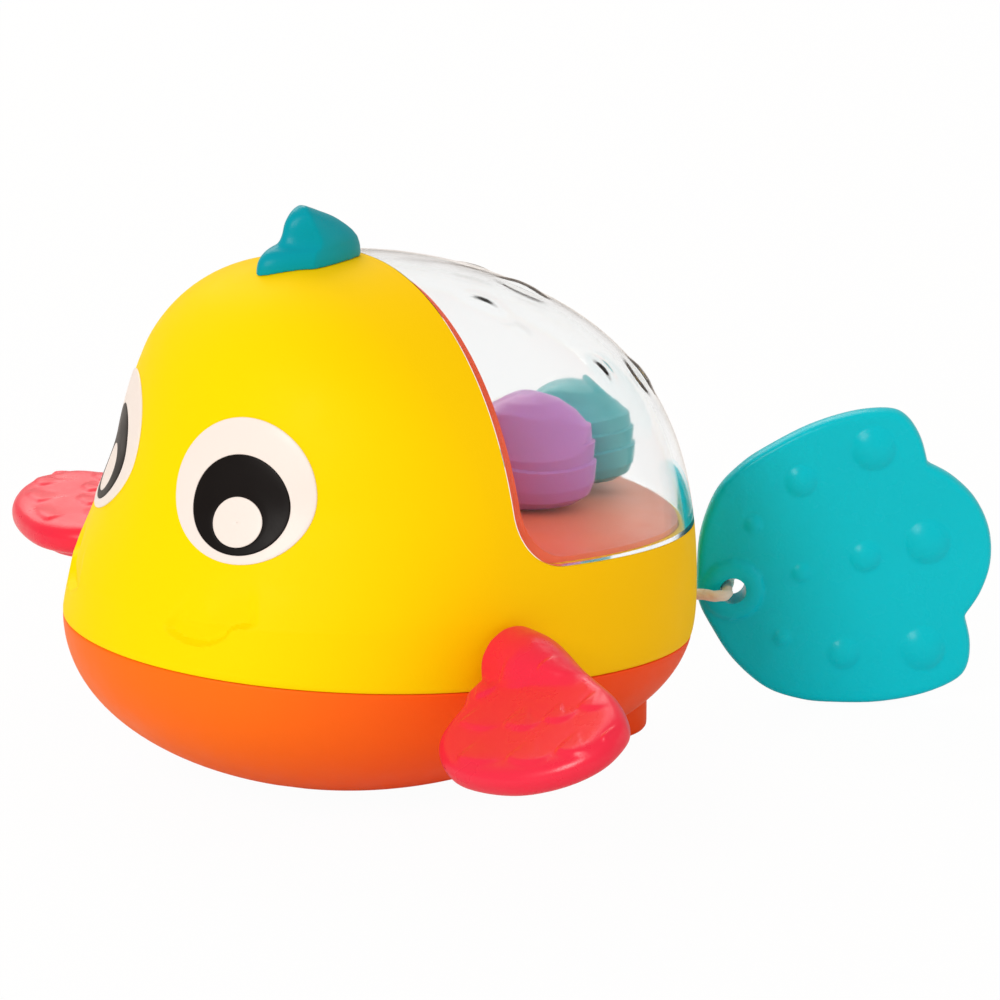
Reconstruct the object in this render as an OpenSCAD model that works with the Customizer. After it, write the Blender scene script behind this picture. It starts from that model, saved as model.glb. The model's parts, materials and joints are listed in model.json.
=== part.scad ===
// Pull-cord paddling bath fish: a two-part moulded body with a clear dome, two fins on a
// geared axle, a spinner under the dome and a tail on a cord that rewinds by a spring.
// The nose points along -X, the tail along +X, and the belly rests at z = 0. Millimetres.

/* [Body] */
// Length of the body ahead of its widest section
body_front = 61.9; // [58:0.1:66]
// Length of the body behind its widest section
body_rear = 68.9; // [66:0.1:73]
// Half of the body's width
body_half_width = 54.3; // [52:0.1:57]
// Height of the widest section above the floor
waist_height = 35.3; // [34:0.1:37]
// Height of the crown above the floor
body_height = 106.9; // [103:0.1:112]
// How far the crown leans towards the nose
crown_lean = 15.3; // [12:0.1:17]
// Depth of the belly that is flat
belly_sink = 0.8; // [0.5:0.1:1.2]
// Wall of the coloured shells
shell_wall = 3; // [2.6:0.1:3.4]
// Gap between the two shells at the seam
seam_gap = 0.1; // [0.05:0.01:0.2]
// Height of the seam under the crown's axis
seam_height = 30.2; // [29:0.1:31.5]
// Angle at which the seam rises towards the nose
seam_tilt = 4.7; // [4:0.1:5.5]

/* [Rear foot] */
// Height of the foot under the rear of the belly
foot_height = 7; // [5:0.1:9]
// Length of the foot
foot_length = 29; // [24:0.5:32]
// Width of the foot
foot_width = 38; // [28:0.5:40]
// Distance of the foot's middle behind the body's axis
foot_place = 49; // [45:0.5:50]

/* [Dome] */
// Wall of the clear dome
dome_wall = 2; // [1.6:0.1:2.4]
// Place of the dome's front edge behind the body's axis
dome_front = 1.2; // [0:0.1:2]
// Height of the dome's lower edge above the seam
dome_rise = 23.5; // [23:0.1:25]
// Radius of the lower front corner of the dome's edge
dome_corner = 12; // [9:0.5:14]
// Gap between the dome's edge and the shell
dome_gap = 0.15; // [0.05:0.01:0.3]
// Depth of the tray behind the edge of the opening
tray_depth = 2.2; // [1.8:0.1:2.5]
// Height of the tray's lip inside the edge of the dome
tray_lip = 1; // [0.3:0.1:1.2]
// Gap between the tray and the shells
tray_gap = 0.2; // [0.1:0.05:0.3]

/* [Dorsal fin] */
// Length of the dorsal fin
dorsal_length = 24.6; // [20:0.1:26]
// Height of the dorsal fin from its root inside the crown
dorsal_height = 15; // [13:0.1:18]
// Greatest width of the dorsal fin
dorsal_width = 12.5; // [9:0.1:15]
// Distance of the dorsal fin's front end ahead of the body's axis
dorsal_front = 25; // [23:0.1:27]
// Depth of the dorsal fin's root below the crown
dorsal_root = 3.9; // [3:0.1:5]

/* [Eyes] */
// Radius of the white of the eye
white_radius = 15; // [13:0.1:16]
// Radius of the pupil
pupil_radius = 10.3; // [8:0.1:11]
// Radius of the glint
glint_radius = 5.2; // [3:0.1:6]
// Drop of the pupil below the middle of the white
pupil_drop = 2.9; // [1:0.1:3.5]
// Drop of the glint below the middle of the white
glint_drop = 6.4; // [5:0.1:7]
// Distance of the eye ahead of the body's axis
eye_ahead = 43.3; // [42:0.1:45]
// Distance of the eye to the side of the body's middle
eye_side = 23.5; // [22:0.1:25]
// Height of the eye above the floor
eye_height = 70; // [68:0.1:72]
// Angle by which the eye looks to the side
eye_yaw = 27.9; // [24:0.1:32]
// Angle by which the eye looks up
eye_pitch = 20.4; // [17:0.1:24]
// Thickness of the printed film
film = 0.3; // [0.2:0.05:0.5]

/* [Fins] */
// Length of a fin's blade, out from the body
fin_span = 44.4; // [40:0.2:47]
// Breadth of a fin's blade
fin_chord = 37; // [33:0.5:38.5]
// Thickness of the blade's upper layer
fin_thickness = 6.4; // [5.8:0.1:7]
// Thickness of the blade's lower layer
fin_under = 2.2; // [1.6:0.1:2.6]
// Distance from the body's widest section to the blade
fin_gap = 2; // [1.8:0.1:3]
// Radius of the round neck at the blade's root
fin_neck = 7.5; // [6.5:0.1:8]
// Angle at which the left fin is turned on its axle
left_turn = 29.9; // [0:0.1:60]
// Angle at which the right fin is turned on its axle
right_turn = 4.1; // [0:0.1:60]

/* [Gear train] */
// Size of the teeth: pitch diameter over number of teeth
gear_module = 1; // [0.98:0.01:1.02]
// Teeth of the spool's gear
spool_teeth = 22; // [22:1:22]
// Teeth of the idler
idler_teeth = 24; // [24:1:24]
// Teeth of the gear on the fins' axle
axle_teeth = 12; // [12:1:12]
// Teeth of the crown gear
crown_teeth = 20; // [20:1:20]
// Width of the spur gears
gear_width = 4; // [3:0.1:4.4]
// Play between the flanks of meshed teeth
backlash = 0.2; // [0.1:0.02:0.3]
// Direction of the idler seen from the spool
idler_angle = 175; // [173:0.5:177]
// Height of the fins' axle above the spool
axle_rise = 4.8; // [4:0.1:6]
// Diameter of the fins' axle
axle_diameter = 4; // [3.4:0.1:4.4]
// Diameter of the pins that carry the spool, the idler and the spinner
pin_diameter = 3; // [2.4:0.1:3.2]
// Radial clearance of a shaft that turns in its bearing
running_fit = 0.05; // [0.02:0.01:0.1]
// Place of the spool and the spinner behind the body's axis
spool_place = 38; // [37:0.1:38.5]

/* [Gearbox] */
// Distance from the gearbox's middle to the inner face of a side plate
plate_inside = 14; // [13.9:0.1:14.6]
// Thickness of a side plate
plate_thickness = 2; // [1.6:0.1:2.6]
// Height of the gearbox's feet above the floor
feet_height = 14; // [13:0.1:15]
// Distance of the feet's screws from the middle
feet_screw_side = 20; // [19.5:0.1:21]
// Thickness of the feet
feet_thickness = 2.5; // [2:0.1:3]

/* [Cord and tail] */
// Diameter of the cord
cord_diameter = 2.4; // [2:0.1:2.6]
// Height of the cord's port above the seam
port_rise = 0.2; // [0.1:0.05:0.3]
// Distance from the port to the cord's bend at the tail
cord_length = 16; // [15:0.1:18]
// Angle of the cord to the body's axis
cord_yaw = 56; // [50:1:58]
// Angle of the tail's plate to the body's axis
tail_yaw = 34; // [30:1:36]
// Length of the tail
tail_length = 62; // [56:0.5:66]
// Width of the tail
tail_width = 62.8; // [56:0.2:64]
// Thickness of the tail's plate
tail_thickness = 5; // [4:0.1:6]
// Angle by which the tail's tip is raised
tail_tilt = 14.3; // [14:0.1:20]
// Distance of the eyelet from the tail's rim
eyelet_inset = 7.5; // [7:0.1:9]
// Radius of the eyelet's hole
eyelet_radius = 2.75; // [2.2:0.05:3]
// Width of the raised ring round the eyelet
eyelet_ring = 3.6; // [2.5:0.1:3.8]
// Height of the raised ring above the plate
eyelet_rise = 0.9; // [0.5:0.1:1.2]

/* [Spinner] */
// Distance of a lobe's middle from the spinner's axis
lobe_offset = 11.8; // [11.4:0.1:12]
// Radius of a lobe along the spinner's radius
lobe_reach = 11; // [10:0.1:11.2]
// Radius of a lobe across the spinner's radius, at its middle
lobe_spread = 10.4; // [8.5:0.1:10.8]
// Height of a lobe as a share of the room under the dome over its outer part
lobe_height_share = 1.07; // [0.96:0.01:1.09]
// Height of a lobe's underside above the spinner's base
lobe_lift = 1.6; // [1.2:0.1:2]
// Radius of the spinner's hub
spinner_hub_radius = 4; // [3.4:0.1:4.6]
// Height of the spinner's base above the seam
spinner_base_rise = 25; // [24.8:0.1:25.4]

/* [Screws] */
// Diameter of a screw's shank
screw_diameter = 2.4; // [2:0.1:2.8]
// Diameter of a screw's head
screw_head = 5.6; // [5:0.1:6]
// Height of a screw's head
screw_head_height = 1.8; // [1.4:0.1:2.2]
// Clearance round a screw's shank
screw_fit = 0.05; // [0.02:0.01:0.1]
// Depth of a screw's thread in its boss
screw_bite = 8; // [6:0.1:9]
// Distance of the hull screws' seats below the seam
seat_drop = 5.2; // [5:0.1:7]
// Radius of the hull screws' bosses
boss_radius = 4.5; // [4:0.1:5]

/* [Hidden] */
$fn = 48;

// Powers of the body's curves: how full it is above and below the waist, and in plan
nose_up_power = 1.19;
tail_up_power = 3.76;
side_up_power = 2.34;
nose_down_power = 2.1;
tail_down_power = 3.08;
side_down_power = 2.34;
nose_plan_power = 2.03;
tail_plan_power = 2.41;
// Faces round the body, and levels of its skins
body_sides = 48;
outer_levels = 14;
inner_levels = 8;
corner_steps = 8;
// Depth of the flat at the crown
crown_flat = 0.3;
// How far cuts run past what they cut
overrun = 1;
// Gap between a piece and the skin that it sits on
skin_gap = 0.05;
// Distance within which a skin is sought along the eye's line of sight
eye_search = 12;
film_sides = 28;
film_steps = 2;

// Shares of the dorsal fin: height, front end, rear end and width at each level
dorsal_shares = [[0, 0, 1, 1], [0.3, 0.02, 1, 0.96], [0.44, 0.09, 0.95, 0.88], [0.51, 0.2, 0.92, 0.82],
    [0.62, 0.25, 0.84, 0.72], [0.79, 0.28, 0.7, 0.56], [0.92, 0.34, 0.56, 0.42], [1, 0.42, 0.47, 0.2]];
// Shares of the foot: height and size at each level
foot_shares = [[0, 0.93], [0.12, 1], [0.75, 1], [1, 0.9]];
// Outline of a fin's blade as shares of its breadth, across the axle, and of its length
fin_outline_shares = [[0.195, 0], [0, 0], [-0.216, 0], [-0.324, 0.005], [-0.405, 0.059], [-0.532, 0.088],
    [-0.643, 0.126], [-0.727, 0.207], [-0.778, 0.309], [-0.792, 0.43], [-0.749, 0.615], [-0.662, 0.779],
    [-0.505, 0.926], [-0.33, 1], [-0.162, 0.989], [-0.065, 0.932], [0.032, 0.768], [0.089, 0.552],
    [0.132, 0.365], [0.184, 0.072]];
// Middle of the blade, as shares, about which its layers shrink
fin_middle_share = [-0.27, 0.44];
// Upper layer's rounding: place through its thickness and size; then the lower layer's
fin_round_shares = [[-0.5, 0.86], [-0.4, 0.94], [-0.2, 0.99], [0, 1], [0.2, 0.99], [0.4, 0.94], [0.5, 0.86]];
fin_under_shares = [[1, 0.68], [0.8, 0.74], [0.1, 0.77]];
// Rounding of a moulded plate: place through its thickness and size at each level
plate_round_shares = [[-0.5, 0.88], [-0.4, 0.96], [-0.2, 1], [0.2, 1], [0.4, 0.96], [0.5, 0.88]];
// Half of the tail's outline, from the rim at the eyelet to the middle tip, as shares of its
// length and width; a point that is given twice makes a notch
tail_half_shares = [[0, 0], [0.02, 0.1], [0.063, 0.226], [0.145, 0.347], [0.25, 0.417], [0.355, 0.455],
    [0.5, 0.49], [0.647, 0.5], [0.766, 0.482], [0.821, 0.443], [0.85, 0.363], [0.853, 0.27],
    [0.853, 0.27], [0.923, 0.204], [0.979, 0.111], [1, 0]];
// Bumps of the tail: place along it, place across it and radius, as shares of its length
tail_bump_shares = [[0.69, 0.36, 0.076], [0.43, 0.31, 0.055], [0.24, 0.203, 0.031], [0.79, 0, 0.077],
    [0.577, 0, 0.053], [0.357, 0, 0.035], [0.69, -0.36, 0.076], [0.43, -0.31, 0.055],
    [0.24, -0.203, 0.031]];
// Height of a bump over its radius
bump_share = 0.3;
// Stepped outline of a spinner's lobe: height and size at each level
lobe_shares = [[0, 0.5], [0.05, 0.72], [0.16, 0.9], [0.3, 0.98], [0.34, 1], [0.35, 0.955], [0.5, 0.99],
    [0.61, 0.975], [0.62, 0.925], [0.74, 0.88], [0.83, 0.77], [0.84, 0.71], [0.93, 0.5], [1, 0.2]];
// How much broader a lobe is at its outer end than at its middle
lobe_egg_share = 0.4;
// Directions of the lobes seen from the spinner's axis
purple_angle = -115;
teal_angle = 5;
coral_angle = 125;

// Teeth: pressure angle, height above and depth below the pitch circle over the module
pressure_angle = 25;
tip_share = 0.9;
root_share = 1.2;
flank_steps = 4;
spool_radius = spool_teeth * gear_module / 2;
idler_radius = idler_teeth * gear_module / 2;
axle_gear_radius = axle_teeth * gear_module / 2;
crown_radius = crown_teeth * gear_module / 2;
// Depth to which the crown gear's teeth reach into the spool's gear, and their thickness
crown_bite_share = 0.75;
crown_tooth_share = 0.85;
crown_tooth_length = 2.2;
crown_root_gap = 0.3;
crown_web = 1.5;

// Spool: the cord lies on the drum at this radius, and leaves it at its lowest point
drum_radius = 5.8;
winding_radius = drum_radius + cord_diameter / 2;
spool_x = spool_place;
port_height = seam_at(0, 0, port_rise);
spool_z = port_height + winding_radius;
idler_x = spool_x + (spool_radius + idler_radius) * cos(idler_angle);
idler_z = spool_z + (spool_radius + idler_radius) * sin(idler_angle);
axle_z = spool_z + axle_rise;
axle_angle = 180 - asin((axle_z - idler_z) / (idler_radius + axle_gear_radius));
axle_x = idler_x + (idler_radius + axle_gear_radius) * cos(axle_angle);
// Places across the body: the gears' plane, the drum, its flanges and the spring
gear_middle = crown_radius;
drum_half = 6;
flange_width = 1.5;
flange_radius = 9.4;
arbor_radius = 3.8;
end_play = 0.4;
spring_width = 4.6;
spring_strip = 0.45;
spring_turns = 5;
spring_inside = 4.3;
spring_outside = 8.7;
spring_cup_wall = 1;
spring_cup_gap = 0.4;

// Posts and feet of the gearbox
post_radius = 3;
front_post = [axle_x + 0.2 * gear_module, axle_z - 2.25 * axle_gear_radius];
rear_post = [spool_x + 1.25 * spool_radius, spool_z - 1.25 * spool_radius];
front_foot_x = axle_x + 1.35 * axle_gear_radius;
rear_foot_x = spool_x + 0.58 * spool_radius;
foot_pad = 8;
plate_margin = 5;
screw_boss_radius = 3.5;

// Hull screws: two ahead under the forehead and two behind, beside the cord's port
front_screw = [-0.45 * body_front, 0.3 * body_half_width];
rear_screw = [0.85 * body_rear, 0.4 * body_half_width];
boss_gap = 0.5;
front_boss_top = body_height;
rear_boss_top = 0.425 * body_height;

// Bushes and seals of the fins' axle
bush_radius = 4;
bush_flange = 1.2;
bush_flange_height = 0.8;
bush_length = 5;
seal_width = 2.5;
axle_end_share = 0.4;

// Port of the cord, in the seam at the rear
port_x = body_point(0, port_height, 0)[0];
grommet_radius = 3.4;
grommet_flange = 1.6;
grommet_flange_height = 1.2;
grommet_length = 4;
grommet_bore_gap = 0.5;
port_pivot = port_x + grommet_flange_height + 0.4;
cord_start = 1.4;
cord_bend = 3;
cord_straight = 2;
cord_joint_gap = 0.1;
knuckle_share = 1.25;
knot_radius = 3.1;
tail_gap = 0.5;
// Directions on the floor: along a heading, and square to it towards the fish's right side
function along(yaw) = [cos(yaw), -sin(yaw)];
function away(yaw) = [sin(yaw), cos(yaw)];
// Middle of the cord's bend, and the eyelet behind the bend
bend_middle = [port_pivot, 0] + cord_length * along(cord_yaw) + cord_bend * away(cord_yaw);
tail_half = tail_thickness / 2 + eyelet_rise;
bend_gap = 0.6;
eyelet_seat = tail_half + bend_gap;
eyelet = bend_middle + cord_bend * along(tail_yaw) + eyelet_seat * away(tail_yaw);

// Spinner: the crown gear hangs under the tray, and the hub stands on top of it
spool_tip = spool_z + spool_radius + tip_share * gear_module;
crown_low = spool_tip - crown_bite_share * gear_module;
crown_face = spool_tip + crown_root_gap;
spinner_base = seam_z(spool_x) + spinner_base_rise;
tray_boss_radius = 4;
shaft_below = 0.8;
hub_cap_radius = 5.6;
hub_cap_height = 1.6;
// Room between the lobes' undersides and the dome, over the outer part of a lobe
lobe_room_share = 0.7;
lobe_seat = [spool_x + lobe_offset + lobe_room_share * lobe_reach, 0, spinner_base + lobe_lift];
lobe_height = lobe_height_share * (skin_hit(lobe_seat, [0, 0, 1], -dome_wall, 0, body_height) - lobe_seat)[2];

function signed_power(v, p) = sign(v) * pow(abs(v), p);
function rise(z, grow) = (z - waist_height) / (body_height + grow - waist_height);
function fall(z, grow) = (waist_height - z) / (waist_height + belly_sink + grow);
// Size of the body at a height, as a share of its size at the waist
function fullness(z, grow, up, down) = z > waist_height
    ? sqrt(max(0, 1 - pow(rise(z, grow), up))) : sqrt(max(0, 1 - pow(fall(z, grow), down)));
function nose_reach(z, grow) = (body_front + grow) * fullness(z, grow, nose_up_power, nose_down_power);
function tail_reach(z, grow) = (body_rear + grow) * fullness(z, grow, tail_up_power, tail_down_power);
function side_reach(z, grow) =
    (body_half_width + grow) * fullness(z, grow, side_up_power, side_down_power);
function lean_at(z) = -crown_lean * pow(max(0, rise(z, 0)), 2);
// Point of the body's skin, moved out by grow, at an angle round it and at a height
function body_point(angle, z, grow) =
    let (c = cos(angle), d = sin(angle),
        e = 2 / (c < 0 ? nose_plan_power : tail_plan_power),
        along = c < 0 ? nose_reach(z, grow) : tail_reach(z, grow))
    [signed_power(c, e) * along + lean_at(z), signed_power(d, e) * side_reach(z, grow), z];
// How far out a point lies: less than 1 inside the skin
function body_measure(p, grow) =
    let (x = p[0] - lean_at(p[2]), ahead = x < 0,
        power = ahead ? nose_plan_power : tail_plan_power,
        along = ahead ? nose_reach(p[2], grow) : tail_reach(p[2], grow),
        across = side_reach(p[2], grow))
    along <= 0 || across <= 0 ? 2 : pow(abs(x) / along, power) + pow(abs(p[1]) / across, power);
// Where a line from inside the body crosses its skin
function skin_hit(p, way, grow, near, far, left = 22) =
    let (middle = (near + far) / 2)
    left == 0 ? p + middle * way
    : body_measure(p + middle * way, grow) < 1 ? skin_hit(p, way, grow, middle, far, left - 1)
    : skin_hit(p, way, grow, near, middle, left - 1);
function seam_z(x) = seam_height - tan(seam_tilt) * x;
// Height at which the skin meets the seam's plane, moved up by shift
function seam_at(angle, grow, shift, z = seam_height, left = 14) = left == 0 ? z
    : seam_at(angle, grow, shift, seam_z(body_point(angle, z, grow)[0]) + shift, left - 1);
function seam_row(grow, shift) =
    [for (i = [0:body_sides - 1]) seam_at(360 * i / body_sides, grow, shift)];
function skin_ring(grow, heights) =
    [for (i = [0:body_sides - 1]) body_point(360 * i / body_sides, heights[i], grow)];
// Rings of the skin from the seam up to the crown
function upper_rings(grow, levels) =
    let (row = seam_row(grow, seam_gap / 2), top = body_height + grow - crown_flat)
    [for (j = [0:levels]) skin_ring(grow, [for (z = row) z + (top - z) * sin(90 * j / levels)])];
// Rings of the skin from the belly up to the seam
function lower_rings(grow, levels) =
    let (row = seam_row(grow, -seam_gap / 2))
    [for (j = [0:levels]) skin_ring(grow, [for (z = row) -grow + (z + grow) * (1 - cos(90 * j / levels))])];
function reversed(list) = [for (i = [len(list) - 1:-1:0]) list[i]];
// Closed curve through points: a point that is given twice stays a corner
function smooth_point(a, b, c, d, t) = 0.5 * ((2 * b) + (c - a) * t + (2 * a - 5 * b + 4 * c - d) * t * t
    + (3 * b - a - 3 * c + d) * t * t * t);
function smooth(points, steps) = let (n = len(points))
    [for (i = [0:n - 1]) if (points[i] != points[(i + 1) % n]) for (k = [0:steps - 1])
        smooth_point(points[(i + n - 1) % n], points[i], points[(i + 1) % n], points[(i + 2) % n], k / steps)];

// Solid through rings of points that run counter-clockwise seen from the last ring
module loft(rings) {
    n = len(rings[0]);
    m = len(rings);
    polyhedron(
        points = [for (ring = rings) each ring],
        faces = concat([[for (i = [0:n - 1]) i]], [[for (i = [n - 1:-1:0]) (m - 1) * n + i]],
            [for (j = [0:m - 2], i = [0:n - 1]) each [
                [j * n + i, (j + 1) * n + i, (j + 1) * n + (i + 1) % n],
                [j * n + i, (j + 1) * n + (i + 1) % n, j * n + (i + 1) % n]]]));
}

// Ring-shaped solid: the last ring joins the first
module closed_loft(rings) {
    n = len(rings[0]);
    m = len(rings);
    polyhedron(
        points = [for (ring = rings) each ring],
        faces = [for (j = [0:m - 1], i = [0:n - 1]) each [
            [j * n + i, ((j + 1) % m) * n + i, ((j + 1) % m) * n + (i + 1) % n],
            [j * n + i, ((j + 1) % m) * n + (i + 1) % n, j * n + (i + 1) % n]]]);
}

module at_side(x, z) translate([x, 0, z]) rotate([90, 0, 0]) children();

// Cylinder along Y between two places across the body
module rod(x, z, radius, from, to) at_side(x, z) translate([0, 0, -to]) cylinder(r = radius, h = to - from);

// Solid with a side view, as wide as the body
module side_cut(points) translate([0, body_half_width + overrun, 0]) rotate([90, 0, 0])
    linear_extrude(2 * (body_half_width + overrun)) polygon(points);

// Side view of the dome's opening, drawn in by inset
function dome_profile(inset) =
    let (front = dome_front + inset, r = dome_corner - inset, lift = dome_rise + inset / cos(seam_tilt),
        cx = front + r, cz = seam_z(cx) + lift + r / cos(seam_tilt),
        far = body_rear + overrun, high = body_height + overrun)
    concat([for (i = [0:corner_steps]) let (a = 180 + (90 - seam_tilt) * i / corner_steps)
            [cx + r * cos(a), cz + r * sin(a)]],
        [[far, seam_z(far) + lift], [far, high], [front, high]]);

module upper_solid(grow, levels = outer_levels) loft(upper_rings(grow, levels));
module lower_solid(grow, levels = inner_levels) loft(lower_rings(grow, levels));

module each_side() {
    children();
    mirror([0, 1, 0]) children();
}

module screw_places(low, high, radius) each_side() {
    translate([front_screw[0], front_screw[1], seam_z(front_screw[0]) + low])
        cylinder(r = radius, h = high - low);
    translate([rear_screw[0], rear_screw[1], seam_z(rear_screw[0]) + low])
        cylinder(r = radius, h = high - low);
}

// Hole of the port, with a flat seat for the grommet's flange
module port_hole() translate([port_x, 0, port_height]) rotate([0, 90, 0]) {
    translate([0, 0, -grommet_length - shell_wall])
        cylinder(r = grommet_radius + skin_gap, h = grommet_length + 2 * shell_wall);
    cylinder(r = grommet_radius + grommet_flange + tray_gap, h = shell_wall);
}

// Foot under the rear of the belly, with rounded corners and edges
module rear_foot(sides = 28) loft([for (s = foot_shares) [for (i = [0:sides - 1]) let (a = 360 * i / sides)
    [foot_place + signed_power(cos(a), 0.7) * s[1] * foot_length / 2,
        signed_power(sin(a), 0.7) * s[1] * foot_width / 2, s[0] * foot_height]]]);

module hull_base() color("orangered") difference() {
    union() {
        loft(concat(lower_rings(0, outer_levels), reversed(lower_rings(-shell_wall, inner_levels))));
        difference() {
            rear_foot();
            lower_solid(-shell_wall / 2);
        }
        intersection() {
            lower_solid(-shell_wall / 2);
            union() {
                each_side() for (x = [front_foot_x, rear_foot_x]) translate([x, feet_screw_side, 0])
                    cylinder(r = screw_boss_radius, h = feet_height);
                screw_places(-waist_height, -boss_gap, boss_radius);
            }
        }
    }
    each_side() for (x = [front_foot_x, rear_foot_x])
        translate([x, feet_screw_side, feet_height - screw_bite + feet_thickness])
            cylinder(r = screw_diameter / 2 + screw_fit, h = screw_bite);
    screw_places(-waist_height, -seat_drop, screw_head / 2 + screw_fit);
    screw_places(-waist_height, overrun, screw_diameter / 2 + screw_fit);
    port_hole();
}

module top_shell() color("gold") difference() {
    union() {
        difference() {
            loft(concat(reversed(upper_rings(-shell_wall, inner_levels)), upper_rings(0, outer_levels)));
            side_cut(dome_profile(0));
        }
        intersection() {
            upper_solid(-shell_wall / 2, inner_levels);
            each_side() {
                translate([front_screw[0], front_screw[1], seam_z(front_screw[0]) + boss_gap])
                    cylinder(r = boss_radius, h = front_boss_top - seam_z(front_screw[0]));
                translate([rear_screw[0], rear_screw[1], seam_z(rear_screw[0]) + boss_gap])
                    cylinder(r = boss_radius, h = rear_boss_top - seam_z(rear_screw[0]));
            }
        }
    }
    screw_places(-overrun, screw_bite + overrun, screw_diameter / 2 + screw_fit);
    rod(axle_x, axle_z, bush_radius + skin_gap, -body_half_width - overrun, body_half_width + overrun);
    port_hole();
}

module dome() color("white", 0.35) intersection() {
    loft(concat(reversed(upper_rings(-dome_wall, inner_levels)), upper_rings(0, outer_levels)));
    side_cut(dome_profile(dome_gap));
}

module dome_tray() color("coral") difference() {
    union() {
        intersection() {
            upper_solid(-shell_wall - tray_gap, inner_levels);
            translate([0, body_half_width, 0]) rotate([90, 0, 0]) linear_extrude(2 * body_half_width)
                difference() {
                    polygon(dome_profile(-tray_depth));
                    polygon(dome_profile(tray_lip));
                }
        }
        translate([spool_x, 0, crown_face + crown_web + end_play])
            cylinder(r = tray_boss_radius, h = spinner_base - crown_face - crown_web - 2 * end_play);
    }
    translate([spool_x, 0, crown_face]) cylinder(r = pin_diameter / 2 + running_fit, h = spinner_base);
}

module dorsal_fin(sides = 20) color("darkcyan") difference() {
    loft([for (s = dorsal_shares) let (
            from = -dorsal_front + s[1] * dorsal_length, to = -dorsal_front + s[2] * dorsal_length)
        [for (i = [0:sides - 1]) let (a = 360 * i / sides)
            [(from + to) / 2 + signed_power(cos(a), 0.8) * (to - from) / 2,
                sin(a) * s[3] * dorsal_width / 2,
                body_height - dorsal_root + s[0] * dorsal_height]]]);
    upper_solid(skin_gap);
}

// Eyes: a film that follows the skin between two circles drawn across the line of sight
eye_way = [-cos(eye_pitch) * cos(eye_yaw), -cos(eye_pitch) * sin(eye_yaw), sin(eye_pitch)];
eye_across = [sin(eye_yaw), -cos(eye_yaw), 0];
eye_down = cross(eye_across, eye_way);
function eye_point(radius, drop, angle, grow) =
    skin_hit([-eye_ahead, -eye_side, eye_height] + eye_down * (drop + radius * cos(angle))
        + eye_across * radius * sin(angle), eye_way, grow, -eye_search, eye_search);
function eye_ring(r1, drop1, r2, drop2, share, grow) = [for (i = [0:film_sides - 1])
    eye_point(r1 + (r2 - r1) * share, drop1 + (drop2 - drop1) * share, 360 * i / film_sides, grow)];
function eye_rings(r1, drop1, r2, drop2, grow) =
    [for (k = [0:film_steps]) eye_ring(r1, drop1, r2, drop2, k / film_steps, grow)];

module eye_film(r1, drop1, r2, drop2) each_side()
    closed_loft(concat(eye_rings(r1, drop1, r2, drop2, skin_gap),
        reversed(eye_rings(r1, drop1, r2, drop2, skin_gap + film))));

module eye_whites() color("white") eye_film(pupil_radius, pupil_drop, white_radius, 0);

module eye_pupils() color("black") eye_film(glint_radius, glint_drop, pupil_radius, pupil_drop);

module eye_glints() color("white") each_side()
    loft(concat(eye_rings(film, glint_drop, glint_radius, glint_drop, skin_gap),
        reversed(eye_rings(film, glint_drop, glint_radius, glint_drop, skin_gap + film))));

// Screw that points along +Z, with its seat at z = 0
module screw(length) {
    cylinder(r = screw_diameter / 2, h = length);
    translate([0, 0, -screw_head_height]) cylinder(r = screw_head / 2, h = screw_head_height);
}

module hull_screws() color("silver") each_side() for (place = [front_screw, rear_screw])
    translate([place[0], place[1], seam_z(place[0]) - seat_drop]) screw(seat_drop + screw_bite);

// Gear with a tooth centred on the +X axis; z is its middle
function involute(angle) = tan(angle) * 180 / PI - angle;
function gear_outline(teeth) =
    let (r = teeth * gear_module / 2, base = r * cos(pressure_angle),
        root = r - root_share * gear_module, tip = r + tip_share * gear_module,
        half = 90 / teeth - backlash / 4 / r * 180 / PI + involute(pressure_angle),
        low = max(base, root),
        flank = [for (k = [0:flank_steps]) let (q = low + (tip - low) * k / flank_steps)
            [q, half - involute(acos(base / q))]],
        side = concat([[root, flank[0][1]]], flank),
        tooth = concat([for (f = side) [f[0], -f[1]]], [for (f = reversed(side)) f]))
    [for (i = [0:teeth - 1], f = tooth) let (a = 360 * i / teeth + f[1]) f[0] * [cos(a), sin(a)]];

module gear(teeth) translate([0, 0, -gear_middle - gear_width / 2])
    linear_extrude(gear_width) polygon(gear_outline(teeth));

// Rest angles at which the teeth mesh: a tooth of the idler faces the spool's gap
spool_turn = idler_angle + 180 / spool_teeth;
idler_turn = idler_angle + 180;
idler_pitch = 360 / idler_teeth;
idler_phase = (axle_angle - idler_turn) - idler_pitch * round((axle_angle - idler_turn) / idler_pitch);
axle_turn = axle_angle + 180 + idler_phase * idler_teeth / axle_teeth + 180 / axle_teeth;
spool_pitch = 360 / spool_teeth;
gap_phase = (90 - spool_turn) / spool_pitch - 0.5;
gap_lead = -(gap_phase - round(gap_phase)) * spool_pitch;
crown_turn = 90 + gap_lead * spool_radius / crown_radius;

// Turned profile along Y from pairs of place across and radius, bored through
module turned(x, z, profile, bore) at_side(x, z) rotate_extrude()
    polygon(concat([for (p = profile) [p[1], -p[0]]],
        [[bore, -profile[len(profile) - 1][0]], [bore, -profile[0][0]]]));

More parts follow.
